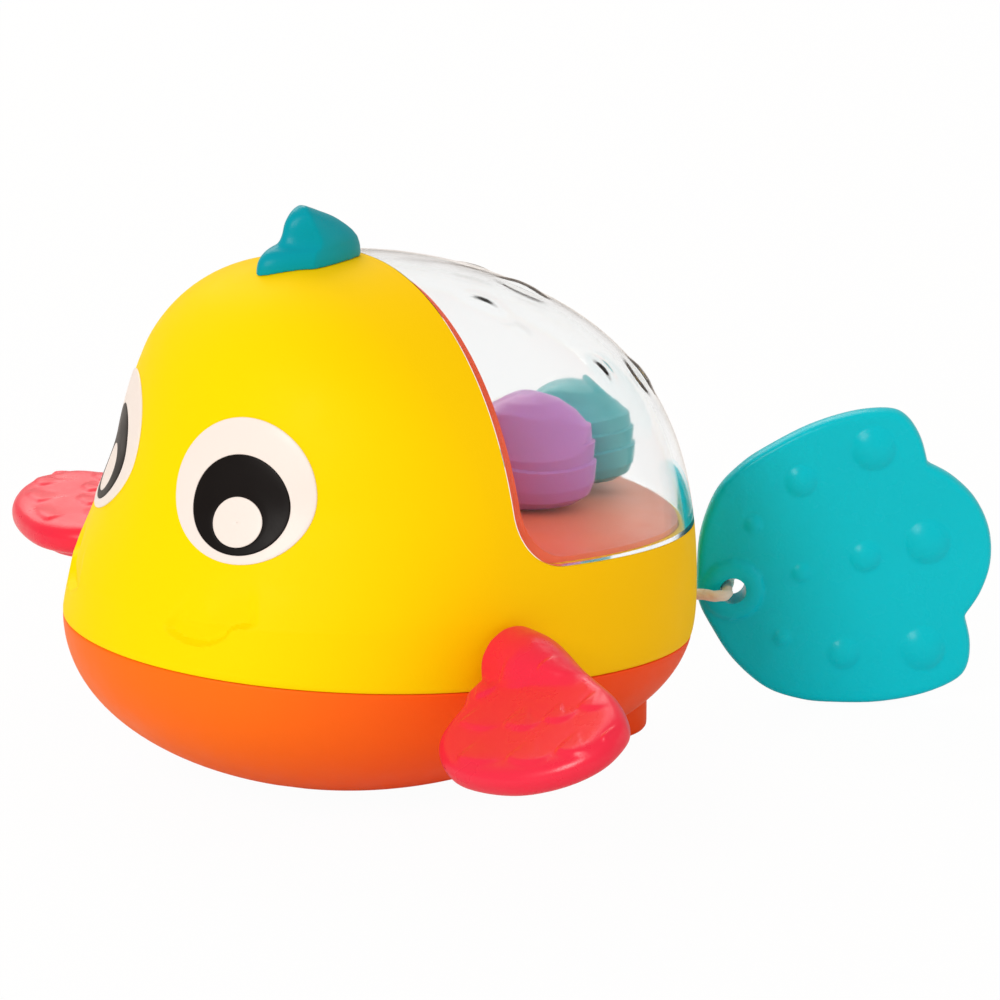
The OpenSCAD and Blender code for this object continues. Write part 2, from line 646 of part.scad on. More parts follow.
hub_end = plate_inside - end_play;
drum_end = drum_half + flange_width;
gear_in = gear_middle - gear_width / 2;
gear_out = gear_middle + gear_width / 2;
module cord_spool() color("ivory") union() {
    turned(spool_x, spool_z, [[-hub_end, arbor_radius], [-drum_end, arbor_radius],
        [-drum_end, flange_radius], [-drum_half, flange_radius], [-drum_half, drum_radius],
        [drum_half, drum_radius], [drum_half, flange_radius], [gear_in, flange_radius],
        [gear_out, flange_radius], [gear_out, arbor_radius], [hub_end, arbor_radius]],
        pin_diameter / 2 + running_fit);
    difference() {
        at_side(spool_x, spool_z) rotate(spool_turn) gear(spool_teeth);
        rod(spool_x, spool_z, arbor_radius, -plate_inside, plate_inside);
    }
}

// Cord wound on the drum, one layer deep
module cord_winding() color("linen") turned(spool_x, spool_z,
    [[skin_gap - drum_half, winding_radius + cord_diameter / 2],
        [drum_half - skin_gap, winding_radius + cord_diameter / 2]], drum_radius + skin_gap);

module idler_gear() color("ivory") difference() {
    union() {
        at_side(idler_x, idler_z) rotate(idler_turn) gear(idler_teeth);
        rod(idler_x, idler_z, arbor_radius, end_play - plate_inside, plate_inside - end_play);
    }
    rod(idler_x, idler_z, pin_diameter / 2 + running_fit, -plate_inside, plate_inside);
}

axle_end = body_half_width + fin_gap + axle_end_share * fin_span;
module fin_axle() color("silver") rod(axle_x, axle_z, axle_diameter / 2, -axle_end, axle_end);

module axle_gear() color("ivory") difference() {
    at_side(axle_x, axle_z) rotate(axle_turn) gear(axle_teeth);
    rod(axle_x, axle_z, axle_diameter / 2 + skin_gap / 2, -body_half_width, body_half_width);
}

// Blade about the axle: X across the axle, -Y out from the body, Z through the blade
function blade_ring(z, size) = [for (p = smooth(fin_outline_shares, 2))
    let (q = fin_middle_share + size * (p - fin_middle_share)) [q[0] * fin_chord, -q[1] * fin_span, z]];
module fin_blade() loft(concat(
    [for (s = fin_under_shares) blade_ring(-fin_thickness / 2 - s[0] * fin_under, s[1])],
    [for (s = fin_round_shares) blade_ring(s[0] * fin_thickness, s[1])]));

// Fin of the left side, turned on its axle
neck_cone_share = 0.5;
module fin(turn) translate([axle_x, 0, axle_z]) rotate([0, -turn, 0]) difference() {
    neck_start = body_half_width + bush_flange_height + end_play;
    neck_end = body_half_width + fin_gap + fin_neck;
    union() {
        translate([0, -body_half_width - fin_gap, 0]) fin_blade();
        rotate([90, 0, 0]) translate([0, 0, neck_start]) cylinder(r = fin_neck, h = neck_end - neck_start);
        rotate([90, 0, 0]) translate([0, 0, neck_end])
            cylinder(r1 = fin_neck, r2 = axle_diameter / 2, h = neck_cone_share * fin_span);
    }
    rod(0, 0, axle_diameter / 2 + skin_gap / 2, -axle_end - skin_gap, 0);
}

module left_fin() color("crimson") fin(left_turn);
module right_fin() color("crimson") mirror([0, 1, 0]) fin(right_turn);

bush_face = side_reach(axle_z, 0) + skin_gap;
module axle_bushes() color("white") each_side() difference() {
    union() {
        rod(axle_x, axle_z, bush_radius, -bush_face, bush_length - bush_face);
        rod(axle_x, axle_z, bush_radius + bush_flange, -bush_face - bush_flange_height, -bush_face);
    }
    rod(axle_x, axle_z, axle_diameter / 2 + running_fit, -body_half_width - overrun, 0);
}

module axle_seals() color("dimgray") each_side() difference() {
    rod(axle_x, axle_z, bush_radius, bush_length - bush_face, bush_length + seal_width - bush_face);
    rod(axle_x, axle_z, axle_diameter / 2 + running_fit, -body_half_width, 0);
}

module spool_pin() color("silver") rod(spool_x, spool_z, pin_diameter / 2,
    -plate_inside - plate_thickness, plate_inside + plate_thickness);

module idler_pin() color("silver") rod(idler_x, idler_z, pin_diameter / 2,
    -plate_inside - plate_thickness, plate_inside + plate_thickness);

// Side plate seen from the side, with two legs
module plate_outline() {
    hull() for (place = [[axle_x, axle_z], [spool_x, spool_z], front_post, rear_post])
        translate(place) circle(r = plate_margin, $fn = 32);
    for (x = [front_foot_x, rear_foot_x]) translate([x - foot_pad / 2, feet_height])
        square([foot_pad, idler_z - feet_height]);
}

// Side plate and its feet on the side of -Y, without posts
module side_plate() difference() {
    union() {
        at_side(0, 0) translate([0, 0, plate_inside]) linear_extrude(plate_thickness) plate_outline();
        for (x = [front_foot_x, rear_foot_x])
            translate([x - foot_pad / 2, -feet_screw_side - foot_pad / 2, feet_height])
                cube([foot_pad, feet_screw_side + foot_pad / 2 - plate_inside, feet_thickness]);
    }
    for (x = [front_foot_x, rear_foot_x]) translate([x, -feet_screw_side, 0])
        cylinder(r = screw_diameter / 2 + screw_fit, h = waist_height);
    for (place = [[spool_x, spool_z], [idler_x, idler_z]])
        rod(place[0], place[1], pin_diameter / 2 + skin_gap / 2, -body_half_width, 0);
    rod(axle_x, axle_z, axle_diameter / 2 + running_fit, -body_half_width, 0);
}

module gearbox_left() color("lightgray") difference() {
    cup = spring_outside + spring_cup_gap;
    union() {
        side_plate();
        for (post = [front_post, rear_post])
            rod(post[0], post[1], post_radius, -plate_inside, plate_inside);
        difference() {
            rod(spool_x, spool_z, cup + spring_cup_wall, -plate_inside, end_play - drum_half - flange_width
                - 2 * end_play);
            rod(spool_x, spool_z, cup, -plate_inside, 0);
        }
    }
    for (post = [front_post, rear_post]) rod(post[0], post[1], screw_diameter / 2 + screw_fit,
        plate_inside + plate_thickness - screw_bite, plate_inside + overrun);
}

module gearbox_right() color("lightgray") difference() {
    mirror([0, 1, 0]) side_plate();
    for (post = [front_post, rear_post])
        rod(post[0], post[1], screw_diameter / 2 + screw_fit, 0, body_half_width);
}

module gearbox_screws() color("silver") {
    each_side() for (x = [front_foot_x, rear_foot_x])
        translate([x, feet_screw_side, feet_height + feet_thickness]) rotate([180, 0, 0]) screw(screw_bite);
    for (post = [front_post, rear_post])
        translate([post[0], plate_inside + plate_thickness, post[1]]) rotate([90, 0, 0]) screw(screw_bite);
}

// Clock spring that turns the spool back
coil_steps = 18;
function coil_point(k, side) = let (a = 360 * k / coil_steps, r = spring_inside + side
        + (spring_outside - spring_inside - spring_strip) * k / (coil_steps * spring_turns))
    [r * cos(a), r * sin(a)];
module mainspring() color("slategray") at_side(spool_x, spool_z)
    translate([0, 0, plate_inside - end_play - spring_width]) linear_extrude(spring_width)
        polygon(concat([for (k = [0:coil_steps * spring_turns]) coil_point(k, spring_strip)],
            [for (k = [coil_steps * spring_turns:-1:0]) coil_point(k, 0)]));

module cord_grommet() color("whitesmoke") translate([port_x + skin_gap, 0, port_height]) rotate([0, 90, 0])
    difference() {
        union() {
            translate([0, 0, -grommet_length]) cylinder(r = grommet_radius, h = grommet_length);
            cylinder(r = grommet_radius + grommet_flange, h = grommet_flange_height);
        }
        translate([0, 0, -grommet_length - overrun])
            cylinder(r = cord_diameter / 2 + grommet_bore_gap, h = grommet_length + body_front);
    }

// Cord between the drum and the port
module cord_run() color("linen") translate([spool_x + flange_radius, 0, port_height]) rotate([0, 90, 0])
    cylinder(r = cord_diameter / 2, h = port_x + grommet_flange_height - spool_x - flange_radius);

module pull_cord() color("linen") translate([port_pivot, 0, port_height]) rotate([0, 90, -cord_yaw])
    translate([0, 0, cord_start])
        cylinder(r = cord_diameter / 2, h = cord_length - cord_straight - cord_joint_gap - cord_start);

// End of the cord: it bends round into the eyelet and ends in a knot behind the tail
module cord_end() color("linen") union() {
    through = eyelet_seat + tail_half + tail_gap;
    first = [port_pivot, 0] + cord_length * along(cord_yaw);
    second = bend_middle + cord_bend * along(tail_yaw);
    step = second - first;
    translate([port_pivot, 0, port_height]) rotate([0, 90, -cord_yaw])
        translate([0, 0, cord_length - cord_straight]) cylinder(r = cord_diameter / 2, h = cord_straight);
    translate([first[0], first[1], port_height]) rotate([0, 90, atan2(step[1], step[0])])
        cylinder(r = cord_diameter / 2, h = norm(step));
    for (at = [first, second]) translate([at[0], at[1], port_height]) rotate(-90)
        sphere(r = knuckle_share * cord_diameter / 2);
    translate([bend_middle[0], bend_middle[1], port_height]) rotate(-tail_yaw)
        translate([cord_bend, 0, 0]) rotate([-90, 0, 0]) {
            cylinder(r = cord_diameter / 2, h = through + knot_radius / 2);
            translate([0, 0, through + knot_radius]) sphere(r = knot_radius);
        }
}

// Whole outline of the tail about its eyelet
function tail_outline() = let (
        half = [for (s = tail_half_shares) [s[0] * tail_length - eyelet_inset, s[1] * tail_width]],
        n = len(half))
    smooth(concat(half, [for (i = [n - 2:-1:1]) [half[i][0], -half[i][1]]]), 2);

module tail() color("darkturquoise") translate([eyelet[0], eyelet[1], port_height])
    rotate([0, -tail_tilt, -tail_yaw]) difference() {
        union() {
            loft([for (s = plate_round_shares) [for (p = tail_outline())
                let (q = tail_length / 2 - eyelet_inset, k = 1 - (1 - s[1]) / 3)
                [q + (p[0] - q) * k, s[0] * tail_thickness, p[1] * k]]]);
            rotate([90, 0, 0]) cylinder(r = eyelet_radius + eyelet_ring,
                h = tail_thickness + 2 * eyelet_rise, center = true);
            for (b = tail_bump_shares, side = [-1, 1]) let (r = b[2] * tail_length, h = bump_share * r,
                    ball = (r * r + h * h) / (2 * h))
                translate([b[0] * tail_length - eyelet_inset,
                    side * (tail_thickness / 2 + h - ball), b[1] * tail_length])
                    intersection() {
                        sphere(r = ball);
                        translate([0, side * ball, 0]) cube([2 * r, 2 * h + tail_thickness, 2 * r], center = true);
                    }
        }
        rotate([90, 0, 0]) cylinder(r = eyelet_radius, h = 2 * tail_thickness, center = true);
    }

module spinner_shaft() color("silver") translate([spool_x, 0, crown_low - shaft_below])
    cylinder(r = pin_diameter / 2, h = spinner_base + lobe_lift + lobe_height - crown_low + shaft_below);

module crown_gear() color("ivory") difference() {
    translate([spool_x, 0, 0]) union() {
        translate([0, 0, crown_face])
            cylinder(r = crown_radius + crown_tooth_length / 2, h = crown_web);
        for (i = [0:crown_teeth - 1]) rotate(crown_turn + 360 * i / crown_teeth)
            translate([crown_radius - crown_tooth_length / 2, -crown_tooth_share * gear_module / 2, crown_low])
                cube([crown_tooth_length, crown_tooth_share * gear_module, crown_face - crown_low + crown_web / 2]);
    }
    translate([spool_x, 0, 0]) cylinder(r = pin_diameter / 2 + skin_gap / 2, h = body_height);
}

module spinner_hub() color("white") difference() {
    translate([spool_x, 0, spinner_base]) {
        cylinder(r = spinner_hub_radius, h = lobe_lift + lobe_height);
        translate([0, 0, lobe_lift + lobe_height]) cylinder(r = hub_cap_radius, h = hub_cap_height);
    }
    translate([spool_x, 0, 0])
        cylinder(r = pin_diameter / 2 + skin_gap / 2, h = spinner_base + lobe_lift + lobe_height);
}

// Scalloped lobe in three steps that faces a direction
module lobe(direction, sides = 22) difference() {
    translate([spool_x, 0, spinner_base + lobe_lift]) rotate(direction)
        loft([for (s = lobe_shares) [for (i = [0:sides - 1]) let (a = 360 * i / sides)
            [lobe_offset + cos(a) * s[1] * lobe_reach,
                sin(a) * s[1] * lobe_spread * (1 + lobe_egg_share * cos(a)), s[0] * lobe_height]]]);
    translate([spool_x, 0, spinner_base])
        cylinder(r = spinner_hub_radius + skin_gap, h = lobe_lift + lobe_height + overrun);
}

module purple_lobe() color("mediumpurple") lobe(purple_angle);
module teal_lobe() color("cadetblue") lobe(teal_angle);
module coral_lobe() color("coral") lobe(coral_angle);

hull_base();
top_shell();
dome();
dome_tray();
dorsal_fin();
eye_whites();
eye_pupils();
eye_glints();
hull_screws();
gearbox_left();
gearbox_right();
gearbox_screws();
spool_pin();
idler_pin();
mainspring();
cord_grommet();
cord_run();
axle_bushes();
axle_seals();
cord_spool();
cord_winding();
idler_gear();
fin_axle();
axle_gear();
left_fin();
right_fin();
spinner_shaft();
crown_gear();
spinner_hub();
purple_lobe();
teal_lobe();
coral_lobe();
pull_cord();
cord_end();
tail();
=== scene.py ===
import json
import math
import bmesh
import bpy
import numpy as np
from mathutils import Matrix, Vector


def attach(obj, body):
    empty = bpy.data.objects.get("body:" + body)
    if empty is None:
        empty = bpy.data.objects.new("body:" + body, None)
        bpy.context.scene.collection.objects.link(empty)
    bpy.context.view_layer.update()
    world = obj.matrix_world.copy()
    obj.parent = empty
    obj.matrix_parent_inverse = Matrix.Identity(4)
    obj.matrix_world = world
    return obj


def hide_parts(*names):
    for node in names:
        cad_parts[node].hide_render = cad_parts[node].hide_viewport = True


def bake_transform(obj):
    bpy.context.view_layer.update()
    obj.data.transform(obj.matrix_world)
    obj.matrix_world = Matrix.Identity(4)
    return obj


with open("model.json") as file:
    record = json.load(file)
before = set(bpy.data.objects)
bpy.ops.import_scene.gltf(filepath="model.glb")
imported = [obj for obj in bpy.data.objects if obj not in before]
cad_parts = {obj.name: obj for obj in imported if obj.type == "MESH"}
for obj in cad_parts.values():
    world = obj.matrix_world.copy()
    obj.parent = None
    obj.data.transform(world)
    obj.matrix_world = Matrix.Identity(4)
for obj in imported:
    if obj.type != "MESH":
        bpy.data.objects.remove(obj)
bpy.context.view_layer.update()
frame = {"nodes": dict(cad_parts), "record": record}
NODES = frame["nodes"]
MM = 0.001

# Sizes of part.scad, in millimetres and degrees
FRONT, REAR, HALF = 61.9, 68.9, 54.3
WAIST, HEIGHT, LEAN, SINK = 35.3, 106.9, 15.3, 0.8
WALL, DOME_WALL, SEAM_GAP = 3.0, 2.0, 0.1
SEAM, TILT = 30.2, math.tan(math.radians(4.7))
NOSE_POWERS, TAIL_POWERS, SIDE_POWERS = (1.19, 2.1), (3.76, 3.08), (2.34, 2.34)
NOSE_PLAN, TAIL_PLAN = 2.03, 2.41
AXLE = (-2.6941, 36.5989)
SPOOL_X, SPOOL_Z, PORT_X, PORT_Z = 38.0, 31.7989, 68.1275, 24.7989
PIVOT = np.array([69.7275, 0.0, PORT_Z])
CORD_R, CORD_STRANDS = 1.2, 3
CORD_YAW, TAIL_YAW, TAIL_TILT = 56.0, 34.0, 14.3
EYELET = (85.8856, -9.9485, PORT_Z)
OPENING_FRONT, OPENING_ROUND, OPENING_LIFT = 1.2, 12.0, 23.5
SPINNER_BASE = SEAM - TILT * SPOOL_X + 25.0
SCREWS = [(-0.45 * FRONT, 0.3 * HALF), (0.85 * REAR, 0.4 * HALF)]
SCREW_PLACES = [(x, side * y, SEAM - TILT * x) for x, y in SCREWS for side in (-1, 1)]
BOSS_R, BORE_R, SEAT_R, SEAT_DROP, REAR_BOSS_TOP = 4.5, 1.25, 2.85, 5.2, 45.4
GEARBOX_FEET, GEARBOX_FOOT_R, GEARBOX_FOOT_TOP = [(x, y) for x in (5.41, 44.38) for y in (-20, 20)], 3.5, 14.0
PORT_R, PORT_SEAT_R, BEARING_R = 3.45, 5.2, 4.05
FOOT_PLACE, FOOT_LENGTH, FOOT_WIDTH, FOOT_HEIGHT = 50.3, 14.5, 19.0, 7.0

# The photograph's view: its turn, distance and target; focal length and middle in the photograph's pixels
VIEW_AZIMUTH, VIEW_ELEVATION, VIEW_DISTANCE = -34.055, 16.777, 1400.0
VIEW_TARGET, VIEW_FOCAL, VIEW_CENTRE = (0.0, 0.0, 50.0), 6973.4, (362.159, 525.275)


def circle(count):
    """Angles round a full turn."""
    return np.linspace(0, 2 * math.pi, count, endpoint=False)


def signed_power(v, p):
    return np.sign(v) * np.abs(v) ** p


def fullness(z, grow, powers):
    above = np.clip((z - WAIST) / (HEIGHT + grow - WAIST), 0, 1)
    below = np.clip((WAIST - z) / (WAIST + SINK + grow), 0, 1)
    return np.where(z > WAIST, np.sqrt(1 - above ** powers[0]), np.sqrt(1 - below ** powers[1]))


# How far the photograph's brow stands behind part.scad's at heights, and ahead of it higher up (below 0)
BROW_REACH, BROW_ROUND = 0.75, 0.09
BROW = [(0, 0), (40, 0), (46, 0.1), (53, 1.1), (60, 1.9), (67, 2.4), (73, 1.9), (80, 1.1), (85, 0.4),
        (89, -0.3), (95, -0.8), (101, -0.8), (106, -0.2), (112, 0)]


def brow_at(z):
    return np.interp(z, BROW_CURVE[:, 0], BROW_CURVE[:, 1])


def lean_at(z):
    return -LEAN * np.clip((z - WAIST) / (HEIGHT - WAIST), 0, None) ** 2


def skin(angle, z, grow=0.0):
    """Points of the body's skin at angles round it, in degrees, and at heights."""
    angle, z = np.broadcast_arrays(np.asarray(angle, float), np.asarray(z, float))
    c, s = np.cos(np.radians(angle)), np.sin(np.radians(angle))
    brow = brow_at(z)
    power = np.where(c < 0, 2 / (NOSE_PLAN - BROW_ROUND * brow), 2 / TAIL_PLAN)
    reach = np.where(c < 0, (FRONT + grow - BROW_REACH * brow) * fullness(z, grow, NOSE_POWERS),
                     (REAR + grow) * fullness(z, grow, TAIL_POWERS))
    side = (HALF + grow) * fullness(z, grow, SIDE_POWERS)
    return np.stack([signed_power(c, power) * reach + lean_at(z), signed_power(s, power) * side, z], -1)


def measure(p, grow):
    """Less than 1 inside the skin."""
    x, z = p[..., 0] - lean_at(p[..., 2]), p[..., 2]
    ahead = x < 0
    brow = brow_at(z)
    power = np.where(ahead, NOSE_PLAN - BROW_ROUND * brow, TAIL_PLAN)
    reach = np.where(ahead, (FRONT + grow - BROW_REACH * brow) * fullness(z, grow, NOSE_POWERS),
                     (REAR + grow) * fullness(z, grow, TAIL_POWERS))
    side = (HALF + grow) * fullness(z, grow, SIDE_POWERS)
    y = np.abs(p[..., 1])
    return (np.abs(x) / np.maximum(reach, 1e-6)) ** power + (y / np.maximum(side, 1e-6)) ** power


def skin_hit(start, way, grow, span=12.0):
    """Where lines from inside the body to outside it cross its skin."""
    near, far = np.full(len(start), -span), np.full(len(start), span)
    for _ in range(30):
        middle = (near + far) / 2
        inside = measure(start + middle[:, None] * way, grow) < 1
        near, far = np.where(inside, middle, near), np.where(inside, far, middle)
    return start + near[:, None] * way


def seam_heights(angles, grow, shift):
    """Heights of the tilted seam at angles round the skin."""
    z = np.full(len(angles), SEAM)
    for _ in range(16):
        z = SEAM - TILT * skin(angles, z, grow)[:, 0] + shift
    return z


def spaced(low, high, count, dense, width, extra):
    """Values from low to high that lie closer together round the dense places."""
    fine = np.linspace(low, high, 8001)
    weight = 1 + sum(extra * np.exp(-((fine - d) / width) ** 4) for d in dense)
    total = np.concatenate([[0], np.cumsum((weight[1:] + weight[:-1]) / 2)])
    return np.interp(np.linspace(0, total[-1], count), total, fine)


def smoothstep(v):
    v = np.clip(v, 0, 1)
    return v * v * (3 - 2 * v)


def spline(points, steps, closed=True):
    """Catmull-Rom curve; a point that is given twice stays a corner."""
    p = np.asarray(points, float)
    n, out = len(p), []
    for i in range(n if closed else n - 1):
        b, c = p[i], p[(i + 1) % n]
        if np.allclose(b, c):
            continue
        a = p[(i - 1) % n] if closed or i else 2 * b - c
        d = p[(i + 2) % n] if closed or i + 2 < n else 2 * c - b
        for k in range(steps):
            t = k / steps
            out.append(0.5 * (2 * b + (c - a) * t + (2 * a - 5 * b + 4 * c - d) * t * t
                              + (3 * b - a - 3 * c + d) * t ** 3))
    if not closed:
        out.append(p[-1])
    return np.array(out)


BROW_CURVE = spline(BROW, 8, closed=False)


# Meshes, in millimetres until place() makes them metres

def make(name, points, faces):
    mesh = bpy.data.meshes.new(name)
    mesh.from_pydata([tuple(map(float, p)) for p in points], [], faces)
    obj = bpy.data.objects.new(name, mesh)
    bpy.context.scene.collection.objects.link(obj)
    tidy(obj)
    return obj


def tidy(obj):
    mesh = bmesh.new()
    mesh.from_mesh(obj.data)
    bmesh.ops.remove_doubles(mesh, verts=mesh.verts, dist=1e-4)
    bmesh.ops.recalc_face_normals(mesh, faces=mesh.faces)
    mesh.to_mesh(obj.data)
    mesh.free()


def loft(name, rings, round_again=False):
    """Closed solid through rings of points; round_again joins the last ring to the first."""
    n, m = len(rings[0]), len(rings)
    points = np.concatenate([np.asarray(r, float) for r in rings])
    faces = []
    for j in range(m if round_again else m - 1):
        a, b = j * n, (j + 1) % m * n
        faces += [(a + i, a + (i + 1) % n, b + (i + 1) % n, b + i) for i in range(n)]
    if not round_again:
        for j in (0, m - 1):
            ring = points[j * n:(j + 1) * n]
            points = np.concatenate([points, ring.mean(0)[None]])
            faces += [(j * n + i, j * n + (i + 1) % n, len(points) - 1) for i in range(n)]
    return make(name, points, faces)


def tube(name, path, radius, sides=20, strands=0, lay=9.0):
    """Closed tube along a path; with strands it is a twisted cord with this length of lay."""
    path = np.asarray(path, float)
    tangent = np.gradient(path, axis=0)
    tangent /= np.linalg.norm(tangent, axis=1)[:, None]
    normal = np.cross(tangent[0], (0.0, 0.0, 1.0))
    if np.linalg.norm(normal) < 0.2:
        normal = np.cross(tangent[0], (1.0, 0.0, 0.0))
    run = np.concatenate([[0], np.cumsum(np.linalg.norm(np.diff(path, axis=0), axis=1))])
    rings = []
    turns = circle(sides)
    for p, t, s in zip(path, tangent, run):
        normal = normal - t * (normal @ t)
        normal /= np.linalg.norm(normal)
        other = np.cross(t, normal)
        r = np.full(sides, float(radius))
        if strands:
            r *= 0.87 + 0.13 * np.abs(np.cos(strands / 2 * turns - math.pi * strands * s / lay))
        rings.append(p + (np.cos(turns) * r)[:, None] * normal + (np.sin(turns) * r)[:, None] * other)
    return loft(name, rings)


def cylinder(name, start, end, radius, sides=64, end_radius=None):
    start, end = np.array(start, float), np.array(end, float)
    way = (end - start) / np.linalg.norm(end - start)
    across = np.cross(way, (0.3, 0.5, 0.8))
    across /= np.linalg.norm(across)
    other = np.cross(way, across)
    a = circle(sides)
    ring = np.cos(a)[:, None] * across + np.sin(a)[:, None] * other
    return loft(name, [start + radius * ring, end + (radius if end_radius is None else end_radius) * ring])


def prism(name, outline, low, high):
    """Solid whose side view is the outline of (x, z), from y = low to high."""
    n = len(outline)
    points = [(x, y, z) for y in (low, high) for x, z in outline]
    faces = [tuple(range(n)), tuple(range(n, 2 * n))]
    faces += [(i, (i + 1) % n, n + (i + 1) % n, n + i) for i in range(n)]
    return make(name, points, faces)


def applied(obj):
    bpy.context.view_layer.update()
    mesh = bpy.data.meshes.new_from_object(obj.evaluated_get(bpy.context.evaluated_depsgraph_get()))
    obj.modifiers.clear()
    old, obj.data = obj.data, mesh
    bpy.data.meshes.remove(old)
    return obj


def boolean(obj, kind, *others):
    for other in others:
        step = obj.modifiers.new("step", "BOOLEAN")
        step.operation, step.solver, step.object = kind, "EXACT", other
        applied(obj)
        bpy.data.objects.remove(other)
    return obj


def joined(obj, *others):
    """The meshes of the others are added to obj's."""
    mesh = bmesh.new()
    for o in (obj,) + others:
        mesh.from_mesh(o.data)
    mesh.to_mesh(obj.data)
    mesh.free()
    for o in others:
        bpy.data.objects.remove(o)
    return obj


def moulded(obj, voxel, rounds):
    """One soft-edged skin over overlapping solids."""
    remesh = obj.modifiers.new("remesh", "REMESH")
    remesh.mode, remesh.voxel_size, remesh.adaptivity = "VOXEL", voxel, 0.0
    smooth = obj.modifiers.new("smooth", "SMOOTH")
    smooth.factor, smooth.iterations = 0.5, rounds
    return applied(obj)


def vertices(obj):
    co = np.empty(len(obj.data.vertices) * 3)
    obj.data.vertices.foreach_get("co", co)
    return co.reshape(-1, 3)


def set_vertices(obj, co):
    obj.data.vertices.foreach_set("co", np.ascontiguousarray(co, float).ravel())
    obj.data.update()


def nearest(u, v, line):
    """Distance to a line, the side of it (1 on the left of its run) and the place along it, 0 to 1."""
    line = np.asarray(line, float)
    best = np.full(len(u), 1e9)
    side, place = np.zeros(len(u)), np.zeros(len(u))
    for i in range(len(line) - 1):
        a, d = line[i], line[i + 1] - line[i]
        t = np.clip(((u - a[0]) * d[0] + (v - a[1]) * d[1]) / (d @ d), 0, 1)
        du, dv = u - a[0] - t * d[0], v - a[1] - t * d[1]
        far = np.hypot(du, dv)
        closer = far < best
        side = np.where(closer, np.sign(d[0] * dv - d[1] * du), side)
        place = np.where(closer, (i + t) / (len(line) - 1), place)
        best = np.minimum(best, far)
    return best, side, place


def step_depth(u, v, line, reach, edge, fade):
    """1 just past the line, on the left of its run, falling to 0 at the reach, and 0 before it."""
    best, side, place = nearest(u, v, line)
    ends = smoothstep(place / fade) * smoothstep((1 - place) / fade)
    return np.where(side > 0, smoothstep(best / edge) * np.exp(-(best / reach) ** 2), 0) * ends


# Materials

def rgb(r, g, b):
    """Colour from 0-255 values as seen on a screen."""
    return tuple((c / 255 / 12.92) if c <= 10 else ((c / 255 + 0.055) / 1.055) ** 2.4 for c in (r, g, b))


def material(name, colour, rough, tone=0.05, grain=0.06, grain_scale=1800.0, blotch=28.0, metal=0.0,
             deep=0.0, clear=0.0, bend=1.46, streak=1.0, shine=0.5, painted_light_end_colour=None, span=(0.0, 0.05)):
    """Moulding with a slight change of tone, a fine grain and a gloss that varies; with painted_light_end_colour
    it also gets painted light and shade along the body.
    """
    made = bpy.data.materials.new(name)
    made.use_nodes = True
    tree = made.node_tree
    shader = tree.nodes["Principled BSDF"]

    def add(kind, **values):
        node = tree.nodes.new(kind)
        for key, value in values.items():
            node.inputs[key].default_value = value
        return node

    place = tree.nodes.new("ShaderNodeTexCoord")
    stretch = add("ShaderNodeMapping", Scale=(1.0, streak, 1.0))
    tree.links.new(place.outputs["Object"], stretch.inputs["Vector"])
    broad = add("ShaderNodeTexNoise", Scale=blotch, Detail=3.0)
    fine = add("ShaderNodeTexNoise", Scale=grain_scale, Detail=2.0)
    worn = add("ShaderNodeTexNoise", Scale=blotch * 5, Detail=5.0)
    for node in (broad, fine, worn):
        tree.links.new(stretch.outputs["Vector"], node.inputs["Vector"])
    tint = tree.nodes.new("ShaderNodeMix")
    tint.data_type = "RGBA"
    tint.inputs[6].default_value = (*[c * (1 - tone) for c in colour], 1)
    tint.inputs[7].default_value = (*[min(1, c * (1 + tone)) for c in colour], 1)
    tree.links.new(broad.outputs["Fac"], tint.inputs[0])
    tree.links.new(tint.outputs[2], shader.inputs["Base Color"])
    if painted_light_end_colour:
        # Painted light and shade: the colour runs from one to the other along the body, standing in for shade
        # and reflected colour that differ from front to rear
        split = tree.nodes.new("ShaderNodeSeparateXYZ")
        tree.links.new(place.outputs["Object"], split.inputs[0])
        run = add("ShaderNodeMapRange", **{"From Min": span[0], "From Max": span[1]})
        tree.links.new(split.outputs["X"], run.inputs["Value"])
        painted_light_mix = tree.nodes.new("ShaderNodeMix")
        painted_light_mix.data_type = "RGBA"
        painted_light_mix.inputs[7].default_value = (*painted_light_end_colour, 1)
        tree.links.new(run.outputs["Result"], painted_light_mix.inputs[0])
        tree.links.new(tint.outputs[2], painted_light_mix.inputs[6])
        tree.links.new(painted_light_mix.outputs[2], shader.inputs["Base Color"])
    shader.inputs["Specular IOR Level"].default_value = shine
    worn_range = add("ShaderNodeMapRange", **{"From Min": 0.3, "From Max": 0.7,
                                              "To Min": max(rough - 0.05, 0.01), "To Max": rough + 0.06})
    tree.links.new(worn.outputs["Fac"], worn_range.inputs["Value"])
    tree.links.new(worn_range.outputs["Result"], shader.inputs["Roughness"])
    bump = add("ShaderNodeBump", Strength=grain, Distance=0.0003)
    tree.links.new(fine.outputs["Fac"], bump.inputs["Height"])
    tree.links.new(bump.outputs["Normal"], shader.inputs["Normal"])
    shader.inputs["Metallic"].default_value = metal
    shader.inputs["IOR"].default_value = bend
    shader.inputs["Transmission Weight"].default_value = clear
    if deep:
        shader.inputs["Subsurface Weight"].default_value = deep
        shader.inputs["Subsurface Radius"].default_value = (1.0, 0.4, 0.15)
        shader.inputs["Subsurface Scale"].default_value = 0.004
    return made


